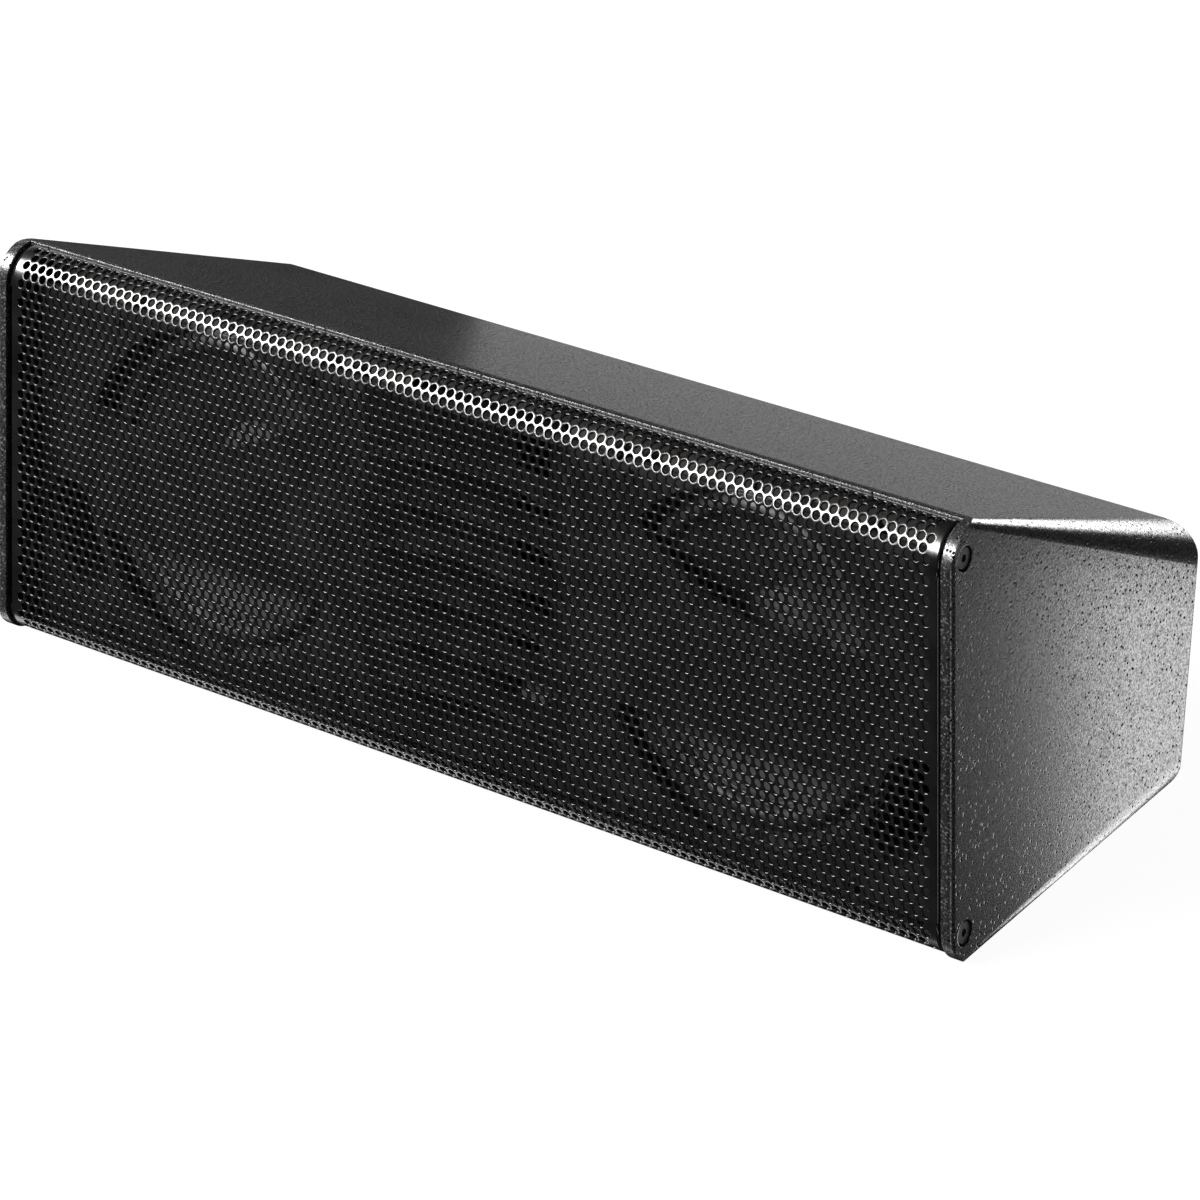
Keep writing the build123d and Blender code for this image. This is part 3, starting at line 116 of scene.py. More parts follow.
# ---------------------------------------------------------------- camera, level with a shifted frame
CAMERA_TURN = 0.58438  # radians clockwise from straight on
CAMERA_RIGHT = 1.4873
CAMERA_BEFORE_FRONT = 1.76054
CAMERA_HEIGHT = 1.1423
CAMERA_LENS = 154.83
CAMERA_SHIFT_X = -0.375
CAMERA_SHIFT_Y = -1.98507
SENSOR_W = 36.0
CLIP_NEAR = 0.05
CLIP_FAR = 100.0
SHIFT_HOLDS_WITHIN = 0.001

# ---------------------------------------------------------------- stage
FLOOR_HALF = 20.0
FLOOR_DROP = 0.0001
FLOOR_GLOW = 0.96  # share of the floor's look that is plain white
BACKDROP_SEEN = 1.0
BACKDROP_LIGHT = 0.05


# ================================================================ node helpers
def node(tree, kind, **inputs):
    """A shader node with some of its input values set, by input name."""
    made = tree.nodes.new("ShaderNode" + kind)
    for name, value in inputs.items():
        made.inputs[name.replace("_", " ")].default_value = value
    return made


def link(tree, source, target):
    tree.links.new(source, target)


def place_texture(tree):
    """Object coordinates, in metres."""
    return tree.nodes.new("ShaderNodeTexCoord").outputs["Object"]


def noise(tree, size, detail=3.0, roughness=0.55):
    """Noise whose grain is about this many metres across."""
    made = node(tree, "TexNoise", Scale=1 / size, Detail=detail, Roughness=roughness)
    link(tree, place_texture(tree), made.inputs["Vector"])
    return made.outputs["Fac"]


def spread(tree, value, low, high, start=0.35, end=0.65):
    """Maps a noise value onto the range low to high."""
    made = tree.nodes.new("ShaderNodeMapRange")
    made.inputs["From Min"].default_value = start
    made.inputs["From Max"].default_value = end
    made.inputs["To Min"].default_value = low
    made.inputs["To Max"].default_value = high
    link(tree, value, made.inputs["Value"])
    return made.outputs["Result"]


def mix_colours(tree, share, first, second):
    """Mixes two colours or colour sockets by a share."""
    made = tree.nodes.new("ShaderNodeMix")
    made.data_type = "RGBA"
    link(tree, share, made.inputs["Factor"])
    for value, socket in ((first, made.inputs["A"]), (second, made.inputs["B"])):
        if isinstance(value, bpy.types.NodeSocket):
            link(tree, value, socket)
        else:
            socket.default_value = (*value, 1)
    return made.outputs["Result"]


def edge_wear(tree, width):
    """Near 1 where the surface turns within this width, such as a rubbed edge."""
    bevel = node(tree, "Bevel", Radius=width)
    bevel.samples = BEVEL_SAMPLES
    geometry = tree.nodes.new("ShaderNodeNewGeometry")
    dot = tree.nodes.new("ShaderNodeVectorMath")
    dot.operation = "DOT_PRODUCT"
    link(tree, bevel.outputs["Normal"], dot.inputs[0])
    link(tree, geometry.outputs["Normal"], dot.inputs[1])
    return spread(tree, dot.outputs["Value"], low=1.0, high=0.0, start=0.75, end=0.99)


def bump(tree, height, depth, strength=1.0, under=None):
    made = node(tree, "Bump", Strength=strength, Distance=depth)
    link(tree, height, made.inputs["Height"])
    if under is not None:
        link(tree, under, made.inputs["Normal"])
    return made.outputs["Normal"]


def blank_material(name):
    """An empty material and its principled shader."""
    material = bpy.data.materials.new(name)
    material.use_nodes = True
    return material, material.node_tree, material.node_tree.nodes["Principled BSDF"]


def grained(name, dark, light, rough, grain, depth, metal=0.0, wear=0.0, coat=0.0):
    """General finish: colour that drifts, fine grain, uneven roughness, bump and rubbed edges."""
    material, tree, shader = blank_material(name)
    fine = noise(tree, grain)
    broad = noise(tree, DRIFT_IN_GRAINS * grain, detail=5.0)
    colour = mix_colours(tree, spread(tree, broad, low=0.0, high=1.0), dark, light)
    colour = mix_colours(tree, spread(tree, fine, low=0.0, high=0.35), colour, light)
    if wear:
        rubbed = edge_wear(tree, WORN_EDGE_W)
        bare = tuple(min(1, 3 * c + 0.03) for c in light)
        share = tree.nodes.new("ShaderNodeMath")
        share.operation = "MULTIPLY"
        share.inputs[1].default_value = wear
        link(tree, rubbed, share.inputs[0])
        colour = mix_colours(tree, share.outputs["Value"], colour, bare)
    link(tree, colour, shader.inputs["Base Color"])
    link(tree, spread(tree, broad, low=rough - 0.06, high=rough + 0.08), shader.inputs["Roughness"])
    link(tree, bump(tree, fine, depth), shader.inputs["Normal"])
    shader.inputs["Metallic"].default_value = metal
    shader.inputs["Coat Weight"].default_value = coat
    return material


# ================================================================ materials
def shell_coating():
    """Pitted semi-gloss coating: charcoal skin, scattered pits darkened by painted shade, and painted
    highlight glints in the colour.
    """
    material, tree, shader = blank_material("shell_coating")
    cells = node(tree, "TexVoronoi", Scale=1 / PIT_PITCH)
    link(tree, place_texture(tree), cells.inputs["Vector"])
    pitting = spread(tree, cells.outputs["Distance"], low=0.0, high=1.0, start=0.12, end=0.24)
    grain = noise(tree, GRAIN, detail=2.0, roughness=0.6)
    broad = noise(tree, 0.05, detail=4.0)
    # The pit colour is painted shade: the pits are darkened in the colour as well as bumped.
    painted_pit_shade, dark, light = (0.001, 0.001, 0.001), (0.005, 0.005, 0.0053), (0.009, 0.009, 0.0095)
    # The glint colour is a painted highlight: light specks put into the coating's colour.
    painted_glint = (0.08, 0.08, 0.083)
    base = mix_colours(tree, spread(tree, broad, low=0.0, high=1.0), dark, light)
    # Painted highlight: light glint specks mixed into the base colour where the grain is high.
    base_with_painted_glints = mix_colours(tree, spread(tree, grain, low=0.0, high=1.0, start=0.56, end=0.7), base, painted_glint)
    # Painted shade: the pits get the darker colour.
    colour = mix_colours(tree, pitting, painted_pit_shade, base_with_painted_glints)
    link(tree, colour, shader.inputs["Base Color"])
    link(tree, spread(tree, grain, low=0.32, high=0.2), shader.inputs["Roughness"])
    shine = tree.nodes.new("ShaderNodeMath")
    shine.operation = "MULTIPLY"
    link(tree, pitting, shine.inputs[0])
    link(tree, spread(tree, grain, low=0.22, high=0.95, start=0.4, end=0.6), shine.inputs[1])
    link(tree, shine.outputs["Value"], shader.inputs["Specular IOR Level"])
    soft_edge = node(tree, "Bevel", Radius=SOFT_EDGE_R)
    soft_edge.samples = BEVEL_SAMPLES
    pitted = bump(tree, pitting, depth=0.00014, strength=0.8, under=soft_edge.outputs["Normal"])
    grainy = bump(tree, grain, depth=0.00007, strength=0.9, under=pitted)
    link(tree, grainy, shader.inputs["Normal"])
    return material


def powder_coat():
    """Satin black powder coat on the sheet steel."""
    material, tree, shader = blank_material("grille_powder_coat")
    fine = noise(tree, 0.0003)
    broad = noise(tree, 0.02, detail=4.0)
    dark, light = (0.0012, 0.0012, 0.0013), (0.0025, 0.0025, 0.0026)
    colour = mix_colours(tree, spread(tree, broad, low=0.0, high=1.0), dark, light)
    link(tree, colour, shader.inputs["Base Color"])
    link(tree, spread(tree, broad, low=0.18, high=0.26), shader.inputs["Roughness"])
    link(tree, bump(tree, fine, depth=0.00002, strength=0.5), shader.inputs["Normal"])
    shader.inputs["Specular IOR Level"].default_value = 0.65
    return material


def plywood():
    """Board with thin stained layers showing on its edges."""
    material, tree, shader = blank_material("painted_plywood")
    wave = node(tree, "TexWave", Scale=320.0, Distortion=1.5, Detail=2.0)
    wave.bands_direction = "Y"
    link(tree, place_texture(tree), wave.inputs["Vector"])
    fibre = noise(tree, 0.0015, detail=6.0)
    late_wood, early_wood, stain = (0.03, 0.027, 0.024), (0.055, 0.048, 0.04), (0.02, 0.018, 0.016)
    colour = mix_colours(tree, wave.outputs["Fac"], late_wood, early_wood)
    colour = mix_colours(tree, spread(tree, fibre, low=0.0, high=0.5), colour, stain)
    link(tree, colour, shader.inputs["Base Color"])
    link(tree, spread(tree, fibre, low=0.55, high=0.75), shader.inputs["Roughness"])
    link(tree, bump(tree, fibre, depth=0.0002, strength=0.6), shader.inputs["Normal"])
    return material


def cloth(name, dark, light, thread):
    """Woven cloth: two crossing sets of threads, with fibres."""
    material, tree, shader = blank_material(name)
    heights = []
    for direction in ("X", "Z"):
        wave = node(tree, "TexWave", Scale=WAVE_PER_THREAD / thread, Distortion=0.4)
        wave.bands_direction = direction
        link(tree, place_texture(tree), wave.inputs["Vector"])
        heights.append(wave.outputs["Fac"])
    weave = tree.nodes.new("ShaderNodeMath")
    weave.operation = "MULTIPLY"
    link(tree, heights[0], weave.inputs[0])
    link(tree, heights[1], weave.inputs[1])
    fibre = noise(tree, thread, detail=6.0, roughness=0.7)
    colour = mix_colours(tree, weave.outputs["Value"], dark, light)
    colour = mix_colours(tree, spread(tree, fibre, low=0.0, high=0.4), colour, dark)
    link(tree, colour, shader.inputs["Base Color"])
    link(tree, spread(tree, fibre, low=0.75, high=0.95), shader.inputs["Roughness"])
    link(tree, bump(tree, weave.outputs["Value"], depth=0.4 * thread, strength=0.7), shader.inputs["Normal"])
    return material


def brushed(name, dark, light, rough):
    """Turned or plated metal with fine lines along its length."""
    material, tree, shader = blank_material(name)
    stretch = tree.nodes.new("ShaderNodeMapping")
    stretch.inputs["Scale"].default_value = (1, 14, 1)
    link(tree, place_texture(tree), stretch.inputs["Vector"])
    lines = node(tree, "TexNoise", Scale=900.0, Detail=4.0)
    link(tree, stretch.outputs["Vector"], lines.inputs["Vector"])
    stain = noise(tree, 0.012, detail=4.0)
    colour = mix_colours(tree, spread(tree, stain, low=0.0, high=1.0), dark, light)
    link(tree, colour, shader.inputs["Base Color"])
    uneven = spread(tree, lines.outputs["Fac"], low=rough - 0.08, high=rough + 0.12)
    link(tree, uneven, shader.inputs["Roughness"])
    link(tree, bump(tree, lines.outputs["Fac"], depth=0.00004, strength=0.6), shader.inputs["Normal"])
    shader.inputs["Metallic"].default_value = 1.0
    return material


def winding(name, dark, light):
    """Enamelled wire laid side by side."""
    material, tree, shader = blank_material(name)
    turns = node(tree, "TexWave", Scale=420.0, Distortion=0.3)
    turns.bands_direction = "Y"
    link(tree, place_texture(tree), turns.inputs["Vector"])
    colour = mix_colours(tree, turns.outputs["Fac"], dark, light)
    link(tree, colour, shader.inputs["Base Color"])
    link(tree, spread(tree, noise(tree, 0.004), low=0.3, high=0.45), shader.inputs["Roughness"])
    link(tree, bump(tree, turns.outputs["Fac"], depth=0.0002, strength=0.8), shader.inputs["Normal"])
    shader.inputs["Metallic"].default_value = 0.8
    return material


def cabinet_finishes():
    """Finishes of the cabinet's outside and its fixings, by material slot."""
    return {
        "shell": shell_coating(),
        "grille": powder_coat(),
        "dark_steel": grained(
            "dark_steel", dark=(0.012, 0.012, 0.012), light=(0.03, 0.03, 0.03),
            rough=0.4, grain=0.0004, depth=0.00003, metal=0.4, wear=0.3,
        ),
        "black_screw": grained(
            "black_oxide", dark=(0.003, 0.003, 0.003), light=(0.008, 0.008, 0.008),
            rough=0.5, grain=0.0003, depth=0.00002, wear=0.15,
        ),
        "board_wood": plywood(),
        "plate": grained(
            "moulded_plate", dark=(0.007, 0.007, 0.0072), light=(0.012, 0.012, 0.0125),
            rough=0.42, grain=0.0006, depth=0.00008, wear=0.8,
        ),
        "horn": grained(
            "moulded_horn", dark=(0.008, 0.008, 0.0085), light=(0.015, 0.015, 0.016),
            rough=0.36, grain=0.0005, depth=0.00005, wear=0.5,
        ),
    }


def high_driver_finishes():
    """Finishes of the compression driver, by material slot."""
    return {
        "zinc_steel": brushed(
            "zinc_plate", dark=(0.42, 0.42, 0.4), light=(0.62, 0.61, 0.58),
            rough=0.34,
        ),
        "ferrite": grained(
            "ferrite", dark=(0.03, 0.03, 0.032), light=(0.075, 0.075, 0.078),
            rough=0.6, grain=0.0004, depth=0.00006, wear=0.4,
        ),
        "cast_alloy": grained(
            "cast_alloy", dark=(0.4, 0.4, 0.42), light=(0.6, 0.6, 0.62),
            rough=0.45, grain=0.0007, depth=0.00008, metal=1.0,
        ),
        "dome": grained(
            "dome_foil", dark=(0.55, 0.55, 0.58), light=(0.72, 0.72, 0.75),
            rough=0.28, grain=0.0005, depth=0.00003, metal=1.0,
        ),
        "coil": winding(
            "coil_wire", dark=(0.3, 0.12, 0.05), light=(0.65, 0.33, 0.16),
        ),
        "film": grained(
            "film", dark=(0.3, 0.22, 0.1), light=(0.5, 0.4, 0.2),
            rough=0.35, grain=0.0009, depth=0.00004, coat=0.4,
        ),
        "moulded_cap": grained(
            "moulded_cap", dark=(0.015, 0.015, 0.015), light=(0.035, 0.035, 0.036),
            rough=0.48, grain=0.0005, depth=0.00006,
        ),
    }


def crossover_finishes():
    """Finishes of the crossover and the connector panel, by material slot."""
    return {
        "circuit_board": grained(
            "solder_mask", dark=(0.01, 0.05, 0.02), light=(0.03, 0.11, 0.05),
            rough=0.3, grain=0.0012, depth=0.00003, coat=0.5,
        ),
        "brass": brushed(
            "turned_brass", dark=(0.5, 0.36, 0.13), light=(0.72, 0.55, 0.25),
            rough=0.3,
        ),
        "copper_winding": winding(
            "choke_wire", dark=(0.28, 0.1, 0.04), light=(0.62, 0.29, 0.13),
        ),
        "capacitor": grained(
            "film_sleeve", dark=(0.2, 0.02, 0.015), light=(0.34, 0.05, 0.04),
            rough=0.3, grain=0.002, depth=0.00003, coat=0.4,
        ),
        "resistor": grained(
            "cement", dark=(0.55, 0.53, 0.48), light=(0.8, 0.78, 0.72),
            rough=0.85, grain=0.0006, depth=0.00015,
        ),
        "panel": grained(
            "panel_coat", dark=(0.012, 0.012, 0.013), light=(0.026, 0.026, 0.028),
            rough=0.42, grain=0.0005, depth=0.00006, wear=0.35,
        ),
        "socket": grained(
            "socket_moulding", dark=(0.012, 0.012, 0.016), light=(0.03, 0.03, 0.036),
            rough=0.35, grain=0.0006, depth=0.00003,
        ),
    }


def lining_finishes():
    """Finishes of the wadding and the cables, by material slot."""
    return {
        "wadding": grained(
            "wadding", dark=(0.2, 0.2, 0.21), light=(0.42, 0.42, 0.43),
            rough=0.92, grain=0.0008, depth=0.0012,
        ),
        "cable": grained(
            "cable_sheath", dark=(0.015, 0.015, 0.015), light=(0.035, 0.035, 0.035),
            rough=0.6, grain=0.0008, depth=0.00005,
        ),
    }


def woofer_finishes():
    """Finishes of the woofers, by material slot."""
    return {
        "cast_basket": grained(
            "basket_coat", dark=(0.02, 0.02, 0.02), light=(0.045, 0.045, 0.045),
            rough=0.45, grain=0.0007, depth=0.0001, metal=0.3, wear=0.3,
        ),
        "gasket": grained(
            "foam_gasket", dark=(0.012, 0.012, 0.012), light=(0.03, 0.03, 0.03),
            rough=0.9, grain=0.0005, depth=0.0003,
        ),
        "surround": grained(
            "rubber_roll", dark=(0.012, 0.012, 0.012), light=(0.026, 0.026, 0.027),
            rough=0.5, grain=0.0009, depth=0.00004,
        ),
        "cone_paper": grained(
            "cone_pulp", dark=(0.016, 0.016, 0.0165), light=(0.038, 0.038, 0.039),
            rough=0.75, grain=0.0012, depth=0.0003,
        ),
        "spider_cloth": cloth(
            "spider_cloth", dark=(0.4, 0.3, 0.12), light=(0.68, 0.56, 0.3),
            thread=0.0006,
        ),
        "terminal": grained(
            "phenolic", dark=(0.3, 0.18, 0.08), light=(0.5, 0.33, 0.17),
            rough=0.4, grain=0.001, depth=0.00005,
        ),
    }


def make_finishes():
    """One finish for each material slot of the record."""
    return {
        **cabinet_finishes(),
        **high_driver_finishes(),
        **crossover_finishes(),
        **lining_finishes(),
        **woofer_finishes(),
    }


def dress_cad_nodes(finishes):
    """Gives every carried-over CAD node the finish of its slot."""
    for part in frame["record"]["subparts"]:
        mesh = frame["nodes"][part["node"]].data
        mesh.materials.clear()
        mesh.materials.append(finishes[part["material_slot"]])


# ================================================================ mesh helpers
def make_object(name, points, faces, finish, smooth=True):
    """A mesh object from points and faces in the row frame."""
    mesh = bpy.data.meshes.new(name)
    mesh.from_pydata([tuple(p) for p in points], [], [tuple(f) for f in faces])
    mesh.validate()
    mesh.polygons.foreach_set("use_smooth", [smooth] * len(mesh.polygons))
    mesh.materials.append(finish)
    made = bpy.data.objects.new(name, mesh)
    bpy.context.scene.collection.objects.link(made)
    return made


def share_points(points, faces):
    """Merges points at the same place; faces follow."""
    keys = np.round(points * SAME_PLACE).astype(np.int64)
    _, first, back = np.unique(keys, axis=0, return_index=True, return_inverse=True)
    return points[first], back.reshape(-1)[faces]


# ================================================================ grille
class Sheet:
    """The formed sheet. A place on it is (x, run, inward); run climbs from the bottom rear edge."""

    def __init__(self):
        low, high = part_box("grille")
        self.front_y = low.y
        self.low_z = low.z + SHEET_R
        self.flat_length = high.z - low.z - 2 * SHEET_R
        self.arc_length = SHEET_R * math.pi / 2
        self.run_end = 2 * self.arc_length + self.flat_length
        self.bend_x = high.x - BEND_R
        self.edge_x = high.x

    def flat_span(self):
        return self.arc_length, self.arc_length + self.flat_length

    def place(self, places):
        """Row-frame points of an array of places."""
        x, run, inward = places.T
        start, end = self.flat_span()
        turn = np.where(run < start, (start - run) / SHEET_R, np.maximum(run - end, 0) / SHEET_R)
        upward = np.where(run < start, -1.0, 1.0)
        centre_z = np.where(run < start, self.low_z, self.low_z + np.minimum(run - start, self.flat_length))
        radius = SHEET_R - inward
        y = self.front_y + SHEET_R - radius * np.cos(turn)
        z = centre_z + upward * radius * np.sin(turn)
        return self.fold(x, y, z, inward, (run >= start) & (run <= end))

    def fold(self, x, y, z, inward, flat):
        """Turns what lies beyond the bend line back into the side flange, on the flat face only."""
        side = np.sign(x)
        beyond = np.abs(x) - self.bend_x
        folded = flat & (beyond > 1e-7)
        angle = np.clip(beyond / BEND_R, 0, math.pi / 2)
        straight = np.maximum(beyond - BEND_R * math.pi / 2, 0)
        radius = BEND_R - inward
        bent_x = side * (self.bend_x + radius * np.sin(angle))
        bent_y = self.front_y + BEND_R - radius * np.cos(angle) + straight
        return np.column_stack([np.where(folded, bent_x, x), np.where(folded, bent_y, y), z])


def hole_centres(sheet):
    """(x, run) of every hole: staggered rows, the longer ones at even counts."""
    first = sheet.flat_span()[1] + FIRST_ROW_RISE
    centres = []
    for row in range(-ROWS_ABOVE, ROWS_BELOW + 1):
        count = HALF_COUNT - 0.5 * (row % 2)
        steps = np.arange(-count, count + 0.5)
        centres.append(np.column_stack([steps * HOLE_PITCH, np.full(len(steps), first - row * ROW_PITCH)]))
    return np.vstack(centres)


def cell_outline():
    """Points round one hexagonal cell: its corners and the middles of its sides."""
    turns = np.arange(CELL_POINTS) * 2 * math.pi / CELL_POINTS
    reach = np.where(np.arange(CELL_POINTS) % 2 == 1, CELL_CORNER, HOLE_PITCH / 2)
    return np.column_stack([np.cos(turns), np.sin(turns)]) * reach[:, None]


def cell_rings():
    """Rings of one cell from the front web, over the punched rim and through to the back web."""
    turns = np.arange(CELL_POINTS) * 2 * math.pi / CELL_POINTS
    circle = np.column_stack([np.cos(turns), np.sin(turns)])
    web = cell_outline()
    return [
        (web, 0.0),
        (circle * (HOLE_R + RIM), 0.0),
        (circle * (HOLE_R + RIM_TURN * RIM), RIM_TURN * RIM),
        (circle * HOLE_R, RIM_END * RIM),
        (circle * HOLE_R, SHEET_T),
        (web, SHEET_T),
    ]


def perforated_field(centres):
    """Places and faces of all the cells."""
    rings = cell_rings()
    cell = np.vstack([np.column_stack([ring, np.full(CELL_POINTS, inward)]) for ring, inward in rings])
    offsets = np.column_stack([centres, np.zeros(len(centres))])
    places = (offsets[:, None, :] + cell[None, :, :]).reshape(-1, 3)
    step = np.arange(CELL_POINTS)
    following = (step + 1) % CELL_POINTS
    quads = []
    for ring in range(len(rings) - 1):
        outer, inner = ring * CELL_POINTS, (ring + 1) * CELL_POINTS
        quads.append(np.column_stack([outer + step, outer + following, inner + following, inner + step]))
    one_cell = np.vstack(quads)
    starts = np.arange(len(centres)) * len(cell)
    return places, (starts[:, None, None] + one_cell[None]).reshape(-1, 4)


def margin_quads(lines):
    """Quads between neighbouring lines of (x, run) places; every line has the same count."""
    corners = []
    for first, second in zip(lines[:-1], lines[1:]):
        for a, b, c, d in zip(first[:-1], first[1:], second[1:], second[:-1]):
            corners.append((a, b, c, d))
    return corners


def end_margin(sheet, first_run):
    """Plain strips above the top row and below the bottom row, out to the sheet's edge."""
    quads = []
    for row, upward, edge_run in ((-ROWS_ABOVE, 1, sheet.run_end), (ROWS_BELOW, -1, 0.0)):
        centre_run = first_run - row * ROW_PITCH
        half = HALF_COUNT - 0.5 * (row % 2)
        steps = np.arange(0, 4 * (2 * half + 1) + 1) / 4 - half - 0.5
        rise = np.abs(((steps - half) % 1.0) - 0.5) * 2
        zigzag = [
            (step * HOLE_PITCH, centre_run + upward * CELL_CORNER * (1 - 0.5 * fall))
            for step, fall in zip(steps, 1 - rise)
        ]
        clear_run = centre_run + upward * 1.25 * CELL_CORNER
        middle_run = (clear_run + edge_run) / 2
        lines = [zigzag] + [[(x, run) for x, _ in zigzag] for run in (clear_run, middle_run, edge_run)]
        quads += margin_quads(lines)
    return quads


def side_zigzag(first_run):
    """Right-hand ends of the cells, from the top row down, as (x, run)."""
    points = []
    for row in range(-ROWS_ABOVE, ROWS_BELOW + 1):
        centre_run = first_run - row * ROW_PITCH
        end_x = (HALF_COUNT - 0.5 * (row % 2) + 0.5) * HOLE_PITCH
        points += [(end_x, centre_run + rise * CELL_CORNER) for rise in (0.5, 0.0, -0.5)]
        if row < ROWS_BELOW:
            next_x = (HALF_COUNT - 0.5 * ((row + 1) % 2) + 0.5) * HOLE_PITCH
            points.append(((end_x + next_x) / 2, centre_run - 0.75 * CELL_CORNER))
    return points


def side_margin(sheet, first_run):
    """Plain strips beside the cells, the bends and the return flanges, for both sides."""
    start, end = sheet.flat_span()
    zigzag = side_zigzag(first_run)
    top = zigzag[0][1] + 0.75 * CELL_CORNER
    bottom = zigzag[-1][1] - 0.75 * CELL_CORNER
    upper = [(zigzag[0][0], run) for run in (sheet.run_end, (sheet.run_end + top) / 2, top)]
    lower = [(zigzag[-1][0], run) for run in (bottom, bottom / 2, 0.0)]
    line = upper + zigzag + lower
    bend = [sheet.bend_x + step * BEND_R * math.pi / 2 / BEND_STEPS for step in range(1, BEND_STEPS + 1)]
    flange = bend + [bend[-1] + RETURN_DEPTH - BEND_R]
    quads = []
    for a, b in zip(line[:-1], line[1:]):
        folded = a[1] < end - RETURN_MARGIN and b[1] > start + RETURN_MARGIN
        columns = [sheet.bend_x] + (flange if folded else [sheet.edge_x])
        strips = [(a[0], b[0])] + [(x, x) for x in columns]
        for near, far in zip(strips[:-1], strips[1:]):
            quads.append(((near[0], a[1]), (near[1], b[1]), (far[1], b[1]), (far[0], a[1])))
    mirrored = [tuple((-x, run) for x, run in reversed(quad)) for quad in quads]
    return quads + mirrored


def thicken(quads):
    """Front and back faces and edge walls of plain strips, as places and faces."""
    flat = np.array(quads, float).reshape(-1, 2)
    faces = np.arange(len(flat)).reshape(-1, 4)
    front = np.column_stack([flat, np.zeros(len(flat))])
    front, faces = share_points(front, faces)
    back = front + np.array([0, 0, SHEET_T])
    edges = np.vstack([faces[:, [i, (i + 1) % 4]] for i in range(4)])
    order = np.sort(edges, axis=1)
    _, where, count = np.unique(order, axis=0, return_inverse=True, return_counts=True)
    open_edges = edges[count[where.reshape(-1)] == 1]
    return front, back, faces, open_edges


def build_grille(finish):
    """Perforated sheet with rounded top and bottom, plain margins and folded sides."""
    sheet = Sheet()
    first_run = sheet.flat_span()[1] + FIRST_ROW_RISE
    cells, cell_faces = perforated_field(hole_centres(sheet))
    strips = end_margin(sheet, first_run) + side_margin(sheet, first_run)
    front, back, faces, open_edges = thicken(strips)
    count = len(cells)
    size = len(front)
    web = web_edges(cells)
    rim = np.array([edge for edge in open_edges if not on_web(front[edge], web)])
    walls = np.column_stack([rim[:, 1], rim[:, 0], rim[:, 0] + size, rim[:, 1] + size])
    places = np.vstack([cells, front, back])
    quads = np.vstack([cell_faces, faces + count, faces[:, ::-1] + count + size, walls + count])
    places, quads = share_points(places, quads)
    quads = np.array([quad for quad in quads if len(set(quad)) == 4])
    made = make_object("grille_sheet", sheet.place(places), quads[:, ::-1], finish)
    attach(made, "cabinet")
    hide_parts("grille")
    return made


def web_edges(cells):
    """Keys of all the places on the cells' front web."""
    front = cells[np.abs(cells[:, 2]) < 1e-9][:, :2]
    return set(map(tuple, np.round(front * SAME_PLACE).astype(np.int64)))


def on_web(ends, web):
    """True if both ends of an edge are places on the cells' web."""
    return all(tuple(key) in web for key in np.round(ends[:, :2] * SAME_PLACE).astype(np.int64))


# ================================================================ soft rings of the drivers
def lathe(name, centre, profile, finish):
    """A closed ring turned about an axis that runs front to rear; profile is (radius, y) pairs."""
    turns = np.arange(RING_SEGMENTS) * 2 * math.pi / RING_SEGMENTS
    count = len(profile)
    points = [
        (centre.x + radius * math.cos(turn), y, centre.z + radius * math.sin(turn))
        for turn in turns
        for radius, y in profile
    ]
    faces = []
    for segment in range(RING_SEGMENTS):
        here, there = segment * count, (segment + 1) % RING_SEGMENTS * count
        for step in range(count):
            after = (step + 1) % count
            faces.append((here + step, there + step, there + after, here + after))
    return make_object(name, points, faces, finish)


def thick_line(line, thickness):
    """A closed outline round an open line of (radius, y) pairs."""
    half = thickness / 2
    outer, inner = [], []
    for index, (radius, y) in enumerate(line):
        before = line[max(index - 1, 0)]
        after = line[min(index + 1, len(line) - 1)]
        along = Vector((after[0] - before[0], after[1] - before[1])).normalized()
        outer.append((radius - along.y * half, y + along.x * half))
        inner.append((radius + along.y * half, y - along.x * half))
    return outer + inner[::-1]


def soften_between(piece):
    """Bakes the piece's placement into its mesh."""
    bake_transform(piece)


def build_surround(side, finish):
    """Rubber half roll between the cone and the basket."""
    low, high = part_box(f"{side}_woofer_surround")
    centre = (low + high) / 2
    outer_r = (high.x - low.x) / 2
    inner_r = outer_r - 2 * (ROLL_R + ROLL_LIP)
    lip_y = high.y - ROLL_T / 2
    middle_r = (inner_r + outer_r) / 2
    line = [(inner_r, lip_y), (inner_r + ROLL_LIP * ROLL_LAND, lip_y)]
    for step in range(ROLL_STEPS + 1):
        turn = math.pi * step / ROLL_STEPS
        line.append((middle_r - ROLL_R * math.cos(turn), lip_y - ROLL_R * math.sin(turn)))
    line += [(outer_r - ROLL_LIP * ROLL_LAND, lip_y), (outer_r, lip_y)]
    made = lathe(f"{side}_surround_roll", centre, thick_line(line, ROLL_T), finish)
    soften_between(made)
    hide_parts(f"{side}_woofer_surround")


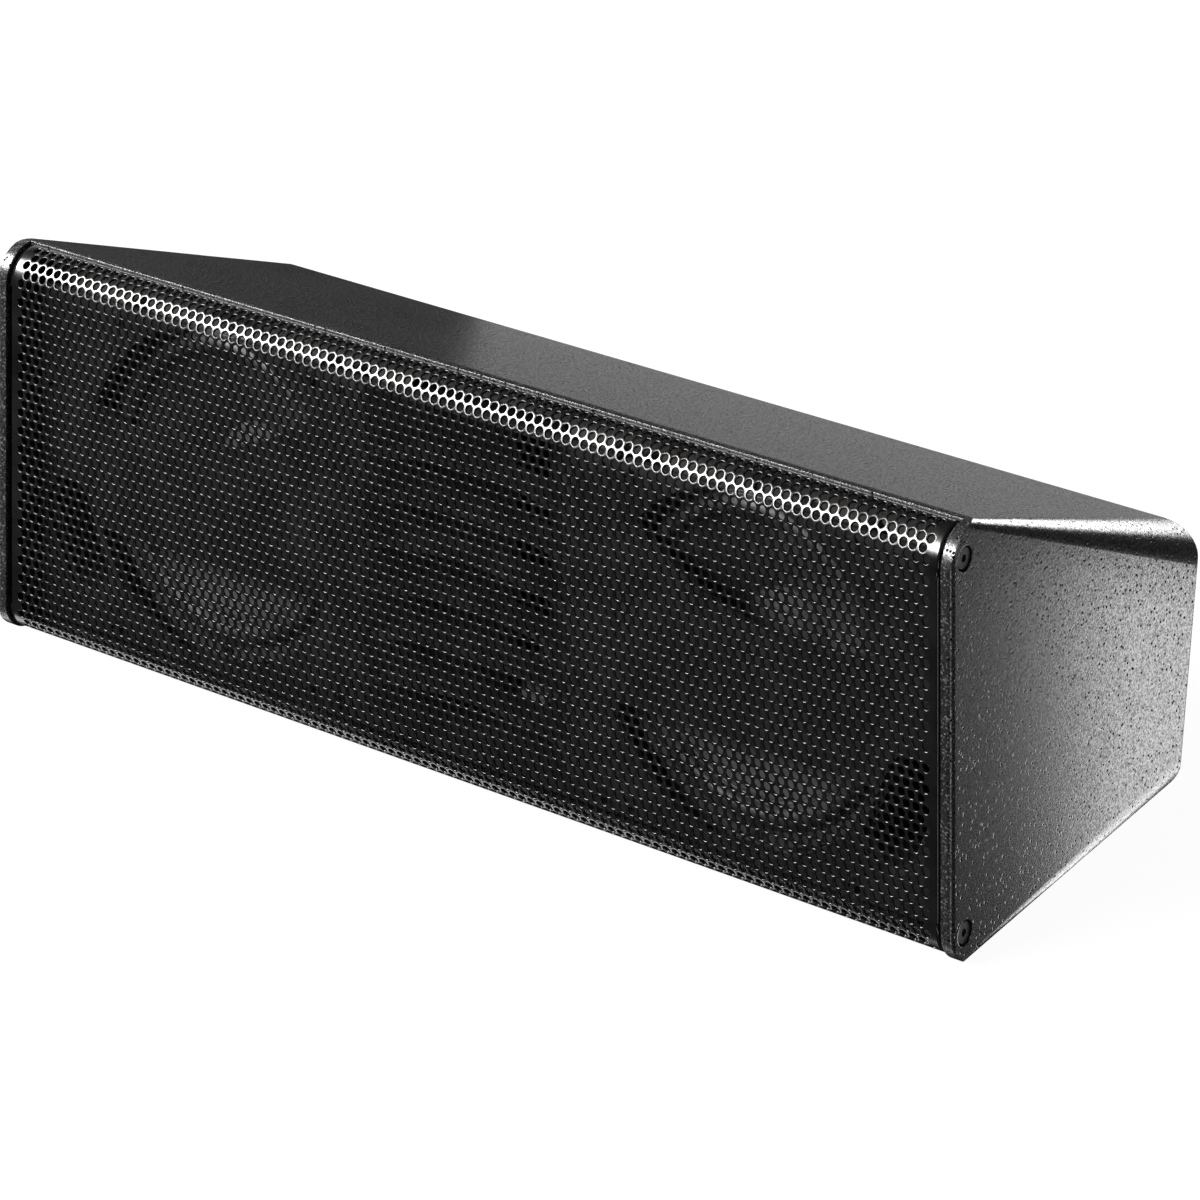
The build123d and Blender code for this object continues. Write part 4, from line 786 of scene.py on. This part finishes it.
def build_spider(side, finish):
    """Corrugated cloth ring that centres the voice coil."""
    low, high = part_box(f"{side}_woofer_spider")
    coil_low, coil_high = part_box(f"{side}_woofer_voice_coil")
    centre = (low + high) / 2
    outer_r = (high.x - low.x) / 2
    inner_r = (coil_high.x - coil_low.x) / 2 - SPIDER_LAP
    wave_w = (outer_r - inner_r - 2 * SPIDER_LIP) / SPIDER_WAVES
    height = (high.y - low.y - SPIDER_T) / 2
    line = [(inner_r, centre.y), (inner_r + SPIDER_LIP * SPIDER_LAND, centre.y)]
    for step in range(SPIDER_WAVES * WAVE_STEPS + 1):
        run = step / WAVE_STEPS
        line.append((inner_r + SPIDER_LIP + run * wave_w, centre.y - height * math.sin(math.pi * run)))
    line += [(outer_r - SPIDER_LIP * SPIDER_LAND, centre.y), (outer_r, centre.y)]
    made = lathe(f"{side}_spider_cloth", centre, thick_line(line, SPIDER_T), finish)
    soften_between(made)
    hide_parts(f"{side}_woofer_spider")


# ================================================================ stage
def build_floor():
    """Plain pale floor that stays bright; it casts no light or shadow on the speaker."""
    material, tree, shader = blank_material("stage_floor")
    shader.inputs["Base Color"].default_value = (0.9, 0.9, 0.9, 1)
    shader.inputs["Roughness"].default_value = 0.9
    shader.inputs["Specular IOR Level"].default_value = 0.1
    glow = node(tree, "Emission", Color=(1, 1, 1, 1), Strength=1.0)
    rays = tree.nodes.new("ShaderNodeLightPath")
    share = tree.nodes.new("ShaderNodeMath")
    share.operation = "MULTIPLY"
    share.inputs[1].default_value = FLOOR_GLOW
    link(tree, rays.outputs["Is Camera Ray"], share.inputs[0])
    mix = tree.nodes.new("ShaderNodeMixShader")
    link(tree, share.outputs["Value"], mix.inputs["Fac"])
    link(tree, shader.outputs["BSDF"], mix.inputs[1])
    link(tree, glow.outputs["Emission"], mix.inputs[2])
    link(tree, mix.outputs["Shader"], tree.nodes["Material Output"].inputs["Surface"])
    half = FLOOR_HALF
    low = CAD_BOX[0].z - FLOOR_DROP
    corners = [(-half, -half, low), (half, -half, low), (half, half, low), (-half, half, low)]
    floor = make_object("stage_floor", corners, [(0, 1, 2, 3)], material, False)
    floor.visible_glossy = False
    floor.visible_diffuse = False
    floor.visible_shadow = False


def add_softbox(name, at, towards, size, brightness):
    """A soft rectangular light that looks at a point; brightness is what a mirror of it would show."""
    data = bpy.data.lights.new(name, "AREA")
    data.shape = "RECTANGLE"
    data.size, data.size_y = size
    data.energy = brightness * math.pi * size[0] * size[1]
    made = bpy.data.objects.new(name, data)
    made.location = at
    made.rotation_mode = "QUATERNION"
    made.rotation_quaternion = (Vector(towards) - Vector(at)).to_track_quat("-Z", "Y")
    made.visible_camera = False
    bpy.context.scene.collection.objects.link(made)
    return made


def light_scene():
    """Studio softboxes, each named after what it draws on the speaker, and a white backdrop."""
    middle = (0, 0, 0.09)
    right_end = (0.27, 0.05, 0.09)
    add_softbox(
        "key_band_on_grille",
        at=(-1.2, -1.45, 1.36), towards=(0, -0.1, 0.17), size=(2.6, 0.75), brightness=52,
    )
    add_softbox(
        "back_edge_band",
        at=(0.14, 1.25, 0.42), towards=right_end, size=(0.56, 0.4), brightness=12,
    )
    add_softbox(
        "back_top_sheen",
        at=(-0.1, 0.5, 0.0), towards=(-0.1, 0, 0.15), size=(0.7, 0.24), brightness=0.4,
    )
    add_softbox(
        "back_top_sheen_right_end",
        at=(0.05, 0.5, 0.0), towards=(0.05, 0, 0.15), size=(0.4, 0.24), brightness=1.1,
    )
    glow = add_softbox(
        "low_side_glow",
        at=(0.33, 0.17, -0.05), towards=(0.28, 0.1, 0.05), size=(0.09, 0.22), brightness=5,
    )
    glow.visible_diffuse = False
    add_softbox(
        "front_right_edge_line",
        at=(1.5, -0.95, -0.45), towards=(0.27, -0.1, 0.09), size=(0.35, 1.0), brightness=3.5,
    )
    add_softbox(
        "low_left_bottom_sheen",
        at=(-1.2, -0.1, -1.6), towards=middle, size=(0.8, 0.8), brightness=2.5,
    )
    add_softbox(
        "right_fill",
        at=(2.4, -0.2, 0.75), towards=middle, size=(1.4, 1.0), brightness=4,
    )
    add_softbox(
        "left_fill",
        at=(-2.2, 0.9, 0.8), towards=middle, size=(1.2, 1.0), brightness=3,
    )
    world = bpy.data.worlds.new("studio")
    bpy.context.scene.world = world
    world.use_nodes = True
    tree = world.node_tree
    rays = tree.nodes.new("ShaderNodeLightPath")
    seen = rays.outputs["Is Camera Ray"]
    strength = spread(tree, seen, low=BACKDROP_LIGHT, high=BACKDROP_SEEN, start=0.0, end=1.0)
    background = tree.nodes["Background"]
    background.inputs["Color"].default_value = (1, 1, 1, 1)
    link(tree, strength, background.inputs["Strength"])


def shift_only_here(data, camera, path, amount):
    """Frame shift that holds at the camera's own place and is zero anywhere it is moved to."""
    driver = data.driver_add(path).driver
    driver.type = "SCRIPTED"
    variable = driver.variables.new()
    variable.name = "x"
    variable.type = "TRANSFORMS"
    variable.targets[0].id = camera
    variable.targets[0].transform_type = "LOC_X"
    driver.expression = f"{amount} if abs(x - {camera.location.x:.4f}) < {SHIFT_HOLDS_WITHIN} else 0"


def add_camera():
    """The photo's camera: level, with its frame shifted onto the speaker."""
    data = bpy.data.cameras.new("camera")
    camera = bpy.data.objects.new("camera", data)
    camera.location = (CAMERA_RIGHT, CAD_BOX[0].y - CAMERA_BEFORE_FRONT, CAMERA_HEIGHT)
    camera.rotation_euler = (math.pi / 2, 0, CAMERA_TURN)
    data.lens = CAMERA_LENS
    data.sensor_width = SENSOR_W
    data.clip_start = CLIP_NEAR
    data.clip_end = CLIP_FAR
    bpy.context.scene.collection.objects.link(camera)
    shift_only_here(data, camera, "shift_x", CAMERA_SHIFT_X)
    shift_only_here(data, camera, "shift_y", CAMERA_SHIFT_Y)
    bpy.context.scene.camera = camera


# ================================================================ the scene
finishes = make_finishes()
dress_cad_nodes(finishes)
build_grille(finishes["grille"])
for cone_side in ("left", "right"):
    build_surround(cone_side, finishes["surround"])
    build_spider(cone_side, finishes["spider_cloth"])
build_floor()
light_scene()
add_camera()
bpy.context.scene.view_settings.view_transform = "Standard"
